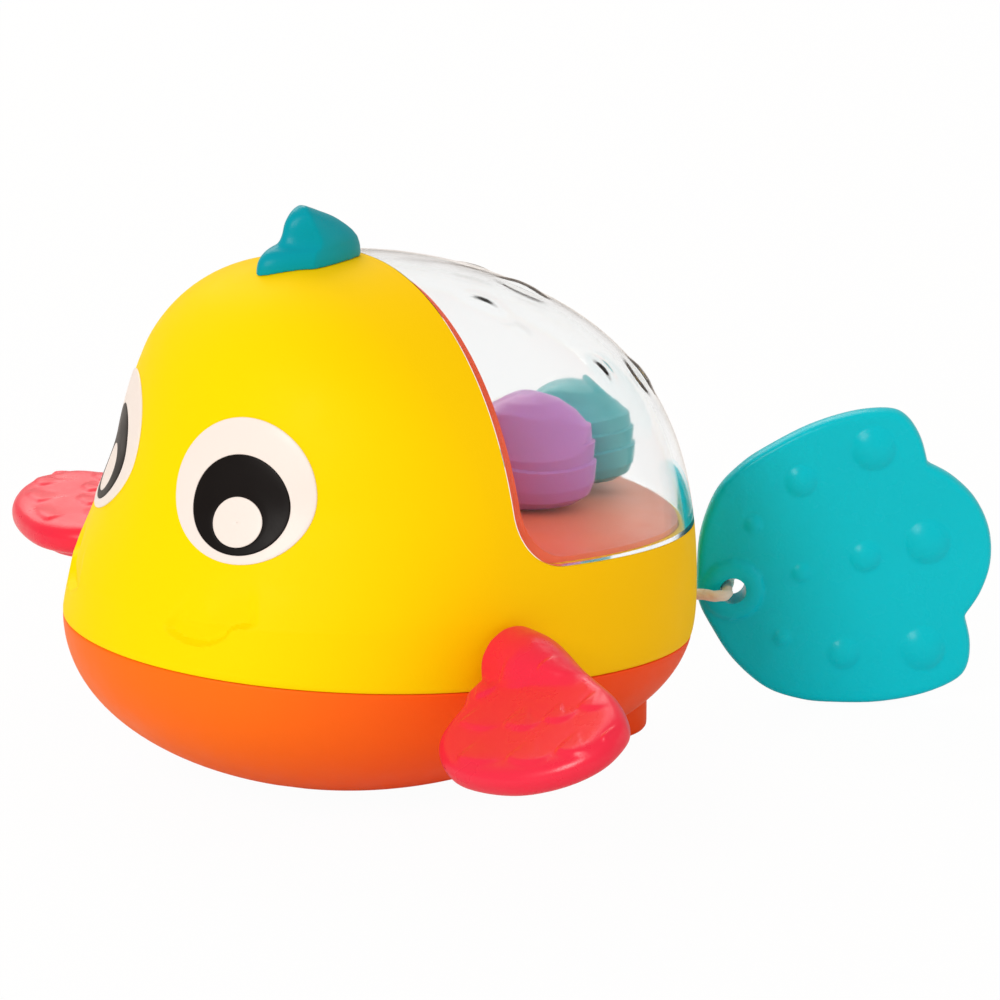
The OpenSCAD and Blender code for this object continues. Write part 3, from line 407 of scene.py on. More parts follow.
MATERIALS = {
    # The yellow turns golden towards the rear: painted shade
    "yellow_plastic": material("yellow_moulding", rgb(255, 226, 0), 0.5, tone=0.02, shine=0.05,
                               painted_light_end_colour=rgb(255, 207, 2), span=(-0.05, 0.02)),
    # The orange turns redder and darker towards the rear: painted shade with red light reflected off the fins
    "orange_plastic": material("orange_moulding", rgb(255, 116, 24), 0.4, tone=0.03, shine=0.1,
                               painted_light_end_colour=rgb(252, 84, 26), span=(-0.05, 0.0)),
    "clear_plastic": material("clear_moulding", (0.97, 0.98, 0.98), 0.04, tone=0.01, grain=0.01, clear=1.0,
                              bend=1.18),
    # The tray's front is orange-red: painted reflected colour of the shell round it; its own peach shows further
    # back
    "peach_plastic": material("peach_moulding", rgb(244, 84, 34), 0.4, shine=0.25,
                              painted_light_end_colour=rgb(236, 152, 124), span=(0.002, 0.048)),
    "dark_teal_plastic": material("dark_teal_rubber", rgb(0, 158, 178), 0.3, grain=0.12, shine=0.1),
    "red_plastic": material("red_rubber", rgb(240, 30, 66), 0.3, grain=0.08),
    "aqua_plastic": material("aqua_rubber", rgb(0, 202, 222), 0.26, grain=0.12, shine=0.16),
    "purple_plastic": material("purple_moulding", rgb(178, 118, 184), 0.33, deep=0.15),
    "teal_plastic": material("inner_teal_moulding", rgb(84, 176, 180), 0.34),
    "coral_plastic": material("coral_moulding", rgb(232, 138, 112), 0.35, deep=0.2),
    "white_film": material("white_print", rgb(242, 236, 232), 0.35, tone=0.02, grain=0.03, shine=0.3),
    "black_film": material("black_print", rgb(14, 10, 10), 0.4, tone=0.2, grain=0.03, shine=0.15),
    "white_plastic": material("white_moulding", rgb(236, 234, 230), 0.4),
    "ivory_plastic": material("ivory_gears", rgb(232, 226, 206), 0.42),
    "grey_plastic": material("grey_gearbox", rgb(190, 192, 196), 0.5, grain=0.1),
    "seal_rubber": material("black_seals", rgb(40, 40, 42), 0.7, grain=0.2),
    "steel": material("steel_pins", (0.62, 0.62, 0.64), 0.28, metal=1.0, streak=14.0),
    "spring_steel": material("spring_strip", (0.4, 0.42, 0.46), 0.34, metal=1.0, streak=14.0),
    "cord_fibre": material("cord_fibre", rgb(232, 224, 210), 0.75, tone=0.12, grain=0.5, grain_scale=2600.0,
                           blotch=240.0),
}


def place(obj, body, slot, *nodes, sharp=35.0):
    """Turns the mesh to metres, shades it and hands it to its body."""
    obj.data.transform(Matrix.Scale(MM, 4))
    obj.data.polygons.foreach_set("use_smooth", np.ones(len(obj.data.polygons), bool))
    obj.data.set_sharp_from_angle(angle=math.radians(sharp))
    obj.data.materials.clear()
    obj.data.materials.append(MATERIALS[slot])
    if body:
        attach(obj, body)
    if nodes:
        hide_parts(*nodes)
    return obj


# Carried-over pieces take the finish of their slot
SLOT_OF = {s["node"]: s["material_slot"] for s in frame["record"]["subparts"]}
for node_name, node_object in NODES.items():
    node_object.data.materials.clear()
    node_object.data.materials.append(MATERIALS[SLOT_OF[node_name]])


# Body

RIM_R = 0.45


def upper_levels(angles, grow, shares, shift=SEAM_GAP / 2):
    """Rings of the skin at shares of its height from the seam to the top."""
    row = seam_heights(angles, grow, shift)
    top = HEIGHT + grow - 0.003
    return [skin(angles, row + (top - row) * s, grow) for s in shares]


def lower_levels(angles, grow, shares, shift=-SEAM_GAP / 2):
    """Rings of the skin at shares of its height from the floor to the seam."""
    row = seam_heights(angles, grow, shift)
    return [skin(angles, -grow + (row + grow) * s, grow) for s in shares]


def rounded_rim(angles, lower):
    """Rings that round the outer edge at the seam, from the rim's face to the skin."""
    way, rings = (-1 if lower else 1), []
    for a in np.radians((0, 22, 45, 67)):
        grow, shift = -RIM_R * (1 - math.sin(a)), way * (SEAM_GAP / 2 + RIM_R * (1 - math.cos(a)))
        rings.append(skin(angles, seam_heights(angles, grow, shift), grow))
    return rings


def sine_shares(count):
    return np.sin(np.linspace(0, math.pi / 2, count))


def dome_profile(inset, ahead=0.0):
    """Side view of the opening for the dome, inset all round and moved on at its front."""
    slope = math.cos(math.atan(TILT))
    front, r, lift = OPENING_FRONT + inset + ahead, OPENING_ROUND - inset, OPENING_LIFT + inset / slope
    cx = front + r
    cz = SEAM - TILT * cx + lift + r / slope
    a = np.radians(np.linspace(180, 265.3, 24))
    arc = [(cx + r * math.cos(v), cz + r * math.sin(v)) for v in a]
    far = REAR + 1
    return arc + [(far, SEAM - TILT * far + lift), (far, HEIGHT + 1), (front, HEIGHT + 1)]


def upper_solid(name, grow):
    return loft(name, upper_levels(np.linspace(0, 360, 160, endpoint=False), grow, sine_shares(44)))


def cosine_shares(count):
    return 1 - np.cos(np.linspace(0, math.pi / 2, count))


def lower_solid(name, grow):
    return loft(name, lower_levels(np.linspace(0, 360, 160, endpoint=False), grow, cosine_shares(30)))


def cut_port(obj):
    """Hole of the cord's grommet with the flat seat of its flange."""
    boolean(obj, "DIFFERENCE", cylinder("port", (PORT_X - 7, 0, PORT_Z), (PORT_X + 7, 0, PORT_Z), PORT_R),
            cylinder("seat", (PORT_X, 0, PORT_Z), (PORT_X + 3, 0, PORT_Z), PORT_SEAT_R))


def boss(x, y, low, high, radius, limit):
    """Round post that ends inside the shell's wall."""
    return boolean(cylinder("boss", (x, y, low), (x, y, high), radius), "INTERSECT", limit("limit", -WALL / 2))


# Smile line on the cheek: angle round the body and height; DEGREE is a degree's length there
SMILE = [(195.66, 43.15), (198.11, 42.03), (202.21, 40.75), (206.92, 40.65), (210.23, 41.84),
         (211.83, 43.57), (212.9, 44.65), (215.6, 45.1), (218.05, 45.5)]
DEGREE, SMILE_DEPTH = 0.96, 1.6


def build_top_shell():
    angles = spaced(0, 360, 301, (153, 207), 15, 4)[:-1]
    # Even rings up to 0.3 of the height, where the smile line is
    shares = np.concatenate([np.linspace(0, 0.3, 46)[1:], 0.3 + 0.7 * sine_shares(45)[1:]])
    outer = upper_levels(angles, 0, shares, SEAM_GAP / 2 + RIM_R)
    line = spline([(a * DEGREE, z) for a, z in SMILE], 6, closed=False)
    for k, ring in enumerate(outer):
        turned = np.where(angles > 180, angles, 360 - angles)
        depth = SMILE_DEPTH * step_depth(turned * DEGREE, ring[:, 2], line, 5.0, 0.9, 0.16)
        way = ring - (lean_at(ring[:, 2])[:, None] * (1, 0, 0) + (0, 0, WAIST) * np.ones((len(ring), 1)))
        way /= np.linalg.norm(way, axis=1)[:, None]
        outer[k] = ring - depth[:, None] * way
    inner = upper_levels(angles, -WALL, sine_shares(12)[::-1])
    obj = loft("top_skin", inner + rounded_rim(angles, False) + outer)
    boolean(obj, "UNION", *[boss(x, y, z + 0.5, HEIGHT if x < 0 else REAR_BOSS_TOP, BOSS_R, upper_solid)
                            for x, y, z in SCREW_PLACES])
    boolean(obj, "DIFFERENCE", prism("opening", dome_profile(0), -HALF - 1, HALF + 1))
    boolean(obj, "DIFFERENCE", cylinder("bearing", (AXLE[0], -HALF - 5, AXLE[1]), (AXLE[0], HALF + 5, AXLE[1]),
                                        BEARING_R))
    cut_port(obj)
    place(obj, "hull", "yellow_plastic", "top_shell")


def build_hull():
    angles = np.linspace(0, 360, 240, endpoint=False)
    outer = lower_levels(angles, 0, cosine_shares(46), -SEAM_GAP / 2 - RIM_R)
    inner = lower_levels(angles, -WALL, cosine_shares(12)[::-1])
    obj = loft("hull_skin", outer + rounded_rim(angles, True)[::-1] + inner)
    a = circle(96)
    foot = loft("foot", [np.stack([FOOT_PLACE + signed_power(np.cos(a), 0.85) * s * FOOT_LENGTH,
                                   signed_power(np.sin(a), 0.85) * s * FOOT_WIDTH,
                                   np.full(96, h * FOOT_HEIGHT)], -1)
                         for h, s in ((0, 0.93), (0.02, 0.955), (0.06, 0.98), (0.12, 0.997), (0.2, 1),
                                      (0.75, 1), (0.85, 0.985), (0.93, 0.95), (1, 0.9))])
    boolean(foot, "DIFFERENCE", lower_solid("limit", -WALL / 2))
    boolean(obj, "UNION", foot)
    boolean(obj, "UNION", *[boss(x, y, -1, z - 0.5, BOSS_R, lower_solid) for x, y, z in SCREW_PLACES],
            *[boss(x, y, 0, GEARBOX_FOOT_TOP, GEARBOX_FOOT_R, lower_solid) for x, y in GEARBOX_FEET])
    for x, y, z in SCREW_PLACES:
        boolean(obj, "DIFFERENCE", cylinder("seat", (x, y, -5), (x, y, z - SEAT_DROP), SEAT_R),
                cylinder("bore", (x, y, z - 12), (x, y, z + 1), BORE_R))
    cut_port(obj)
    place(obj, "hull", "orange_plastic", "hull_base")


# Round bumps of the dome: place along and across the body, radius
DOME_RISE = 0.5
DOME_BUMPS = [(13.7, 23.0, 6.2), (34.9, 33.3, 5.6), (33.0, 9.0, 5.8), (53.5, 21.5, 5.0)]


def build_dome():
    angles = spaced(-180, 180, 361, (-60, -20, 20, 60), 32, 2.5)[:-1]
    bumps = [(skin_top(x, side * y), r) for x, y, r in DOME_BUMPS for side in (-1, 1)]
    rings = []
    for grow in (-DOME_WALL, 0):
        level = upper_levels(angles, grow, sine_shares(100))
        for k, ring in enumerate(level):
            rise = np.zeros(len(ring))
            for top, r in bumps:
                gap = np.linalg.norm(ring - np.array(top), axis=1)
                rise = np.maximum(rise, DOME_RISE * smoothstep((r - gap) / (0.75 * r)))
            way = ring - np.array((0.0, 0.0, WAIST))
            way /= np.linalg.norm(way, axis=1)[:, None]
            level[k] = ring + rise[:, None] * way
        rings += level[::-1] if grow < 0 else level
    obj = loft("dome_skin", rings)
    boolean(obj, "INTERSECT", prism("opening", dome_profile(0.15), -HALF - 3, HALF + 3))
    place(obj, "hull", "clear_plastic", "dome")


def skin_top(x, y):
    """Point of the upper skin over a place in plan."""
    low, high = WAIST, HEIGHT
    for _ in range(30):
        z = (low + high) / 2
        if measure(np.array([[x, y, z]]), 0)[0] < 1:
            low = z
        else:
            high = z
    return x, y, low


# Tray's lip round the dome, and how much thicker its front wall is
TRAY_LIP, TRAY_FRONT = 1.0, 2.6


def build_tray():
    obj = upper_solid("tray", -WALL - 0.2)
    boolean(obj, "INTERSECT", prism("outside", dome_profile(-2.2), -HALF, HALF))
    boolean(obj, "DIFFERENCE", prism("inside", dome_profile(TRAY_LIP, TRAY_FRONT), -HALF - 1, HALF + 1))
    boolean(obj, "UNION", cylinder("bearing", (SPOOL_X, 0, 46.0), (SPOOL_X, 0, SPINNER_BASE - 0.4), 4))
    boolean(obj, "DIFFERENCE", cylinder("bore", (SPOOL_X, 0, 40), (SPOOL_X, 0, SPINNER_BASE + 1), 1.55))
    place(obj, "hull", "peach_plastic", "dome_tray")


# Sections of the dorsal fin: height, front, rear and width, as shares of its own; its widest place along it
DORSAL = [(0, 0, 1, 1), (0.3, 0.02, 1, 0.96), (0.44, 0.09, 0.98, 0.88), (0.51, 0.2, 0.955, 0.82),
          (0.62, 0.25, 0.89, 0.74), (0.79, 0.28, 0.745, 0.6), (0.92, 0.34, 0.58, 0.44), (1, 0.42, 0.47, 0.2)]
DORSAL_RIDGE = 0.38
DORSAL_START, DORSAL_LENGTH, DORSAL_HALF, DORSAL_SUNK, DORSAL_HEIGHT = -25, 24.6, 6.25, 3.9, 15.0


def build_dorsal():
    shares = spline(DORSAL, 4, closed=False)
    a = circle(72)
    rings = []
    for h, start, end, wide in shares:
        x0, x1 = DORSAL_START + start * DORSAL_LENGTH, DORSAL_START + end * DORSAL_LENGTH
        place_on = 0.5 + signed_power(np.cos(a), 0.8) / 2
        before = place_on / DORSAL_RIDGE
        behind = (np.maximum(place_on, DORSAL_RIDGE) - DORSAL_RIDGE) / (1 - DORSAL_RIDGE)
        ridge = np.where(place_on < DORSAL_RIDGE, before ** 0.55, (1 - behind ** 1.7) ** 0.8)
        rings.append(np.stack([x0 + place_on * (x1 - x0), np.sign(np.sin(a)) * ridge * wide * DORSAL_HALF,
                               np.full(72, HEIGHT - DORSAL_SUNK + h * DORSAL_HEIGHT)], -1))
    obj = loft("dorsal", rings)
    boolean(obj, "DIFFERENCE", upper_solid("limit", 0.05))
    moulded(obj, 0.25, 5)
    place(obj, "hull", "dark_teal_plastic", "dorsal_fin")


# Eyes

EYE_YAW, EYE_PITCH = math.radians(27.9), math.radians(20.4)
EYE_AT = np.array((-43.8, -22.6, 70.0))
EYE_WAY = np.array((-math.cos(EYE_PITCH) * math.cos(EYE_YAW), -math.cos(EYE_PITCH) * math.sin(EYE_YAW),
                    math.sin(EYE_PITCH)))
EYE_ACROSS = np.array((math.sin(EYE_YAW), -math.cos(EYE_YAW), 0.0))
EYE_DOWN = np.cross(EYE_ACROSS, EYE_WAY)
EYE_TALL, EYE_BROAD = 0.955, 1.025
# Section of a film, from its inner edge to its outer: share of its width and height over the skin
FILM = [(0, 0.05), (0, 0.22), (0.015, 0.31), (0.05, 0.35), (0.25, 0.35), (0.5, 0.35), (0.75, 0.35),
        (0.95, 0.35), (0.985, 0.31), (1, 0.22), (1, 0.05), (0.5, 0.05)]


def eye_film(name, r1, drop1, r2, drop2, slot, node):
    """Film between two circles, each with its radius and its drop below the eye's middle, and its mirror."""
    a = circle(120)
    rings = []
    for share, grow in FILM:
        r, drop = r1 + (r2 - r1) * share, drop1 + (drop2 - drop1) * share
        start = (EYE_AT + EYE_TALL * np.outer(drop + r * np.cos(a), EYE_DOWN)
                 + EYE_BROAD * np.outer(r * np.sin(a), EYE_ACROSS))
        rings.append(skin_hit(start, EYE_WAY, grow))
    near = loft(name, rings, round_again=True)
    far = loft(name + "_far", [ring * (1, -1, 1) for ring in rings], round_again=True)
    place(joined(near, far), "hull", slot, node, sharp=60)


# Fins

FIN_BREADTH, FIN_LENGTH, SCALE_RISE = 37, 44.4, 0.55
# Outline of the blade along the body and outwards, as shares of its sizes
FIN_OUTLINE = [(0.195, 0), (0, 0), (-0.216, 0), (-0.324, 0.005), (-0.405, 0.059), (-0.532, 0.088),
               (-0.643, 0.126), (-0.727, 0.207), (-0.778, 0.309), (-0.792, 0.43), (-0.749, 0.615),
               (-0.662, 0.779), (-0.505, 0.926), (-0.33, 1), (-0.162, 0.989), (-0.065, 0.932),
               (0.032, 0.768), (0.089, 0.552), (0.132, 0.365), (0.184, 0.072)]
FIN_MIDDLE = np.array((-0.27, 0.44))
# Thickness of the blade in millimetres, with the outline's size there
FIN_SECTION = [(-5.4, 0.66), (-5.25, 0.70), (-4.96, 0.74), (-3.5, 0.77), (-3.2, 0.84), (-2.9, 0.91),
               (-2.4, 0.955), (-1.3, 0.99), (-0.25, 1), (-0.1, 0.985), (0.1, 0.985), (0.25, 1), (1.3, 0.99),
               (2.4, 0.95), (2.9, 0.905), (3.2, 0.84)]
# Lower edges of the moulded scales: start, middle and end, each outwards from the body and along it
FIN_SCALES = [[(6.7, -12.6), (8.6, -9.5), (8.1, -6.6)], [(8.1, -6.6), (13.6, -6.0), (16.2, -1.5)],
              [(16.2, -1.5), (20.6, -0.9), (24.0, 3.1)],
              [(9.3, -18.5), (16.1, -18.0), (19.5, -14.7)], [(19.5, -14.7), (25.5, -14.0), (26.9, -10.2)],
              [(26.9, -10.2), (31.8, -8.7), (31.6, -4.3)], [(31.6, -4.3), (35.8, -3.6), (37.4, -0.8)],
              [(17.9, -25.9), (24.1, -24.9), (28.5, -21.4)], [(28.5, -21.4), (35.3, -20.3), (37.4, -15.5)],
              [(37.4, -15.5), (43.1, -13.7), (43.7, -8.5)], [(43.7, -8.5), (47.0, -7.8), (48.0, -5.8)]]
# Neck and its ridge over the blade: distance from the body's side and radius
FIN_NECK = [(1.2, 7.5), (8.0, 7.5), (11.0, 7.1), (15.0, 6.1), (20.0, 4.7), (26.0, 3.3), (32.0, 2.2)]


def build_fin(name, node, turn, side):
    """Fin pressed on the axle at an angle; side 1 is the left one."""
    outline = spline(FIN_OUTLINE, 6)
    rings = []
    for z, size in FIN_SECTION:
        q = FIN_MIDDLE + size * (outline - FIN_MIDDLE)
        rings.append(np.stack([q[:, 0] * FIN_BREADTH, -q[:, 1] * FIN_LENGTH - HALF - 2, np.full(len(q), z)], -1))
    a = circle(64)
    neck = [np.stack([r * np.cos(a), np.full(64, -HALF - d), r * np.sin(a)], -1) for d, r in FIN_NECK]
    obj = joined(loft(name, rings), loft("neck", neck))
    moulded(obj, 0.42, 26)
    co = vertices(obj)
    top = np.flatnonzero(co[:, 2] > 1.8)
    line = np.linspace(0, 1, 9)[:, None]
    lift = np.zeros(len(top))
    for begin, middle, end in np.array(FIN_SCALES)[:, :, ::-1]:
        pull = 2 * middle - (begin + end) / 2
        arc = (1 - line) ** 2 * begin + 2 * line * (1 - line) * pull + line ** 2 * end
        far, hand, along_arc = nearest(co[top, 0], -co[top, 1] - HALF, arc)
        strength = smoothstep(along_arc / 0.1) * (1 - 0.9 * smoothstep((along_arc - 0.3) / 0.7))
        lift = np.maximum(lift, np.exp(-(far / np.where(hand > 0, 0.7, 3.4)) ** 2) * strength)
    co[top, 2] += SCALE_RISE * lift * smoothstep((co[top, 2] - 1.8) / 0.8)
    turned = np.radians(turn)
    x = co[:, 0] * math.cos(turned) - co[:, 2] * math.sin(turned)
    z = co[:, 0] * math.sin(turned) + co[:, 2] * math.cos(turned)
    set_vertices(obj, np.stack([AXLE[0] + x, co[:, 1] * side, AXLE[1] + z], -1))
    tidy(obj)
    place(obj, "fins", "red_plastic", node, sharp=180)


# Tail

# Half of the outline, along the tail and across it, as shares of its sizes
TAIL_HALF = [(0, 0), (0.02, 0.1), (0.063, 0.226), (0.145, 0.347), (0.25, 0.417), (0.355, 0.455), (0.5, 0.49),
             (0.647, 0.5), (0.766, 0.482), (0.821, 0.443), (0.85, 0.363), (0.853, 0.27), (0.853, 0.27),
             (0.923, 0.204), (0.979, 0.111), (1, 0)]
TAIL_SECTION = [(-0.5, 0.88), (-0.49, 0.91), (-0.45, 0.945), (-0.38, 0.97), (-0.25, 0.99), (-0.1, 1),
                (0.1, 1), (0.25, 0.99), (0.38, 0.97), (0.45, 0.945), (0.49, 0.91), (0.5, 0.88)]
# Round bumps: place along and across, radius, as shares of the length
TAIL_BUMPS = [(0.69, 0.36, 0.076), (0.43, 0.31, 0.055), (0.24, 0.203, 0.031), (0.79, 0, 0.077),
              (0.577, 0, 0.053), (0.357, 0, 0.035), (0.69, -0.36, 0.076), (0.43, -0.31, 0.055),
              (0.24, -0.203, 0.031)]
TAIL_LENGTH, TAIL_WIDTH, TAIL_THICK, TAIL_DROP = 62.0, 62.8, 5.0, 0.9
EYELET_INSET, EYELET_R, RING_R, RING_HALF, RING_RISE = 7.5, 2.75, 4.1, 2.4, 1.3


def build_tail():
    half = [(s[0] * TAIL_LENGTH - EYELET_INSET, s[1] * TAIL_WIDTH) for s in TAIL_HALF]
    outline = spline(half + [(x, -z) for x, z in half[-2:0:-1]], 8)
    middle = np.array((TAIL_LENGTH / 2 - EYELET_INSET, 0.0))
    rings = []
    for y, size in TAIL_SECTION:
        q = middle + (outline - middle) * (1 - (1 - size) / 3)
        rings.append(np.stack([q[:, 0], np.full(len(q), y * TAIL_THICK), q[:, 1] - TAIL_DROP], -1))
    obj = loft("tail_plate", rings)
    moulded(obj, 0.45, 6)
    boolean(obj, "DIFFERENCE", cylinder("eyelet", (0, -9, 0), (0, 9, 0), EYELET_R))
    co = vertices(obj)
    off = (np.hypot(co[:, 0], co[:, 2]) - RING_R) / RING_HALF
    rise = RING_RISE * np.sqrt(np.clip(1 - off ** 2, 0, 1))
    for x, z, r in TAIL_BUMPS:
        r, h = r * TAIL_LENGTH, 0.34 * r * TAIL_LENGTH
        ball = (r * r + h * h) / (2 * h)
        gap = np.hypot(co[:, 0] - x * TAIL_LENGTH + EYELET_INSET, co[:, 2] - z * TAIL_LENGTH)
        rise = np.maximum(rise, np.where(gap < r, np.sqrt(np.maximum(ball ** 2 - gap ** 2, 0)) - ball + h, 0))
    co[:, 1] += np.sign(co[:, 1]) * rise * smoothstep((np.abs(co[:, 1]) - 1.6) / 0.6)
    set_vertices(obj, co)
    turn = Matrix.Rotation(math.radians(-TAIL_YAW), 4, "Z") @ Matrix.Rotation(math.radians(-TAIL_TILT), 4, "Y")
    obj.data.transform(Matrix.Translation(EYELET) @ turn)
    place(obj, "tail", "aqua_plastic", "tail", sharp=50)


# Spinner

LOBE_REACH, LOBE_SPREAD, LOBE_GAP, HUB_BORE_R, HUB_HEIGHT = 12.4, 12.2, 0.9, 4.05, 16.0
# Tiers of a lobe: share of its height and its size there
LOBE_SHARES = [(0, 0.5), (0.04, 0.72), (0.13, 0.9), (0.25, 0.97), (0.44, 1), (0.45, 0.955), (0.62, 0.975),
               (0.63, 0.93), (0.77, 0.91), (0.78, 0.855), (0.88, 0.7), (0.96, 0.46), (1, 0.2)]


def build_lobe(name, node, direction, slot, slope, tall=22.6, fan=1.6):
    """Egg-shaped lobe that points away from the shaft and stays clear of the dome as it turns."""
    a = circle(120)
    table = np.array(LOBE_SHARES)
    around = np.linspace(0, 360, 180, endpoint=False)
    rings = []
    for h in np.linspace(0, 1, 110):
        wave = 0.03 * np.cos(3 * a) + slope * np.sin(a)
        size = np.interp(np.clip(h + wave * smoothstep(h / 0.2) * smoothstep((1 - h) / 0.2), 0, 1),
                         table[:, 0], table[:, 1])
        z = SPINNER_BASE + 0.3 + h * tall
        room = np.hypot(*(skin(around, z, -DOME_WALL)[:, :2] - (SPOOL_X, 0)).T).min() - LOBE_GAP
        x = LOBE_REACH + np.cos(a) * size * LOBE_REACH
        y = np.sin(a) * size * LOBE_SPREAD * (1 + 0.4 * np.cos(a))
        y = np.clip(y, -fan * np.maximum(x, 0.5), fan * np.maximum(x, 0.5))
        pull = np.minimum(1, room / np.maximum(np.hypot(x, y), 1e-6))
        rings.append(np.stack([x * pull, y * pull, np.full(len(a), z)], -1))
    obj = loft(name, rings)
    obj.data.transform(Matrix.Translation((SPOOL_X, 0, 0)) @ Matrix.Rotation(math.radians(direction), 4, "Z"))
    boolean(obj, "DIFFERENCE", cylinder("hub", (SPOOL_X, 0, SPINNER_BASE - 1), (SPOOL_X, 0, SPINNER_BASE + 30),
                                        HUB_BORE_R))
    place(obj, "spinner", slot, node, sharp=28)


def build_hub():
    """Hub and shaft that end below the lobes' tops, as none shows above them in the photograph."""
    base, top = SPINNER_BASE, SPINNER_BASE + HUB_HEIGHT
    a = circle(72)
    ring = np.stack([np.cos(a), np.sin(a)], -1)
    levels = [(base, 3.7), (base + 0.3, 4), (top, 4), (top, 5.4), (top + 0.2, 5.6), (top + 1.2, 5.6),
              (top + 1.6, 5.2)]
    place(loft("hub", [np.concatenate([ring * r + (SPOOL_X, 0), np.full((72, 1), z)], -1) for z, r in levels]),
          "spinner", "white_plastic", "spinner_hub")
    low = lowest("spinner_shaft")
    place(cylinder("shaft", (SPOOL_X, 0, low), (SPOOL_X, 0, top), 1.5), "spinner", "steel", "spinner_shaft")


def lowest(node):
    """Height of a node's lowest point, in millimetres."""
    return min((NODES[node].matrix_world @ v.co).z for v in NODES[node].data.vertices) / MM


def build_grommet():
    """Cord's guide with a flush, rounded mouth, so that the cord can lie over its rim."""
    a = circle(64)
    profile = [(-4, 3.4), (0, 3.4), (0, 5), (0.15, 5), (0.25, 4.8), (0.25, 2.5), (0.1, 2.1), (-0.6, 1.7),
               (-4, 1.7)]
    rings = [np.stack([np.full(64, PORT_X + 0.05 + x), r * np.cos(a), PORT_Z + r * np.sin(a)], -1)
             for x, r in profile]
    obj = loft("grommet", rings, round_again=True)
    tidy(obj)
    place(obj, "hull", "white_plastic", "cord_grommet")


# Cord

# Cord that shows between the port and the eyelet, its bend there, and the knot behind the tail
CORD_SHOWN, CORD_BEND, CORD_BEND_END, KNOT_PLACE, KNOT_SIZE, KNOT_R = 16, 3, 1.75, 11.0, 0.72, 1.05
COIL_TURNS, COIL_R, COIL_WIDTH = 4.6, 7.1, 9.2


def along(yaw):
    return np.array((math.cos(math.radians(yaw)), -math.sin(math.radians(yaw)), 0.0))


def away(yaw):
    return np.array((math.sin(math.radians(yaw)), math.cos(math.radians(yaw)), 0.0))


def build_cord():
    way, side = along(CORD_YAW), away(CORD_YAW)
    low, high = PIVOT + 1.4 * way, PIVOT + 13.95 * way
    stub = tube("cord_stub", [low + (high - low) * s for s in np.linspace(0, 1, 90)], CORD_R, 24, CORD_STRANDS)
    place(stub, None, "cord_fibre", "pull_cord", sharp=80)
    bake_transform(stub)
    centre = PIVOT + CORD_SHOWN * way + CORD_BEND * side
    through = away(TAIL_YAW)
    path = [PIVOT + s * way for s in np.linspace(14.0, 15.9, 8)]
    first, last = -side, along(TAIL_YAW)
    swing = math.acos(float(first @ last))
    for s in np.linspace(0, 1, 26):
        arm = (math.sin((1 - s) * swing) * first + math.sin(s * swing) * last) / math.sin(swing)
        path.append(centre + (CORD_BEND - (CORD_BEND - CORD_BEND_END) * smoothstep(s)) * arm)
    end = centre + CORD_BEND_END * last
    path += [end + s * through for s in np.linspace(0.3, 10.5, 40)]
    loop = tube("cord_loop", path, CORD_R, 24, CORD_STRANDS)
    t = np.linspace(0, 2 * math.pi, 160, endpoint=False)
    knot = KNOT_SIZE * np.stack([np.sin(t) + 2 * np.sin(2 * t), np.cos(t) - 2 * np.cos(2 * t),
                                 -1.4 * np.sin(3 * t)], -1)
    frame_axes = np.stack([through, np.cross((0, 0, 1), through), (0.0, 0.0, 1.0)])
    knot_at = end + KNOT_PLACE * through
    points = knot_at + knot[:, [2, 0, 1]] @ frame_axes
    rings = []
    for k in range(len(points)):
        tangent = points[(k + 1) % len(points)] - points[k - 1]
        tangent /= np.linalg.norm(tangent)
        out = points[k] - knot_at
        out -= tangent * (out @ tangent)
        out /= np.linalg.norm(out)
        other = np.cross(tangent, out)
        a = circle(18)
        rings.append(points[k] + KNOT_R * (np.cos(a)[:, None] * out + np.sin(a)[:, None] * other))
    joined(loop, loft("knot", rings, round_again=True))
    place(loop, "line_end", "cord_fibre", "cord_end", sharp=80)
    run = tube("cord_inside", [(SPOOL_X + 9.4 + s * 20.5, 0, PORT_Z) for s in np.linspace(0, 1, 120)],
               CORD_R, 24, CORD_STRANDS)
    place(run, "hull", "cord_fibre", "cord_run", sharp=80)
    wind = []
    for s in np.linspace(0, 1, 300):
        a = math.radians(-90) + s * COIL_TURNS * 2 * math.pi
        wind.append((SPOOL_X + COIL_R * math.cos(a), COIL_WIDTH * (s - 0.5), SPOOL_Z + COIL_R * math.sin(a)))
    place(tube("cord_coil", wind, CORD_R, 20, CORD_STRANDS), "spool", "cord_fibre", "cord_winding", sharp=80)


# Share of the backdrop's own white in what the camera sees of the floor, and the world's light on the object
FLOOR_WHITE, WORLD_LIGHT = 0.97, 0.62
# Lamps: name, place, size, power and colour
LAMPS = [("key", (-1.0, -0.5, 0.7), 0.45, 7.2, (1.0, 0.97, 0.94)),
         ("fill", (0.9, -0.6, 0.35), 0.9, 1.8, (1.0, 0.86, 0.76)),
         ("rim", (0.25, 0.9, 0.8), 0.8, 5.0, (1.0, 0.95, 0.9))]


def seen_rays(tree):
    """Output that is 1 for what the camera sees, straight or through the clear dome."""
    rays = tree.nodes.new("ShaderNodeLightPath")
    seen = tree.nodes.new("ShaderNodeMath")
    seen.operation = "MAXIMUM"
    tree.links.new(rays.outputs["Is Camera Ray"], seen.inputs[0])
    tree.links.new(rays.outputs["Is Transmission Ray"], seen.inputs[1])
    return seen.outputs[0]


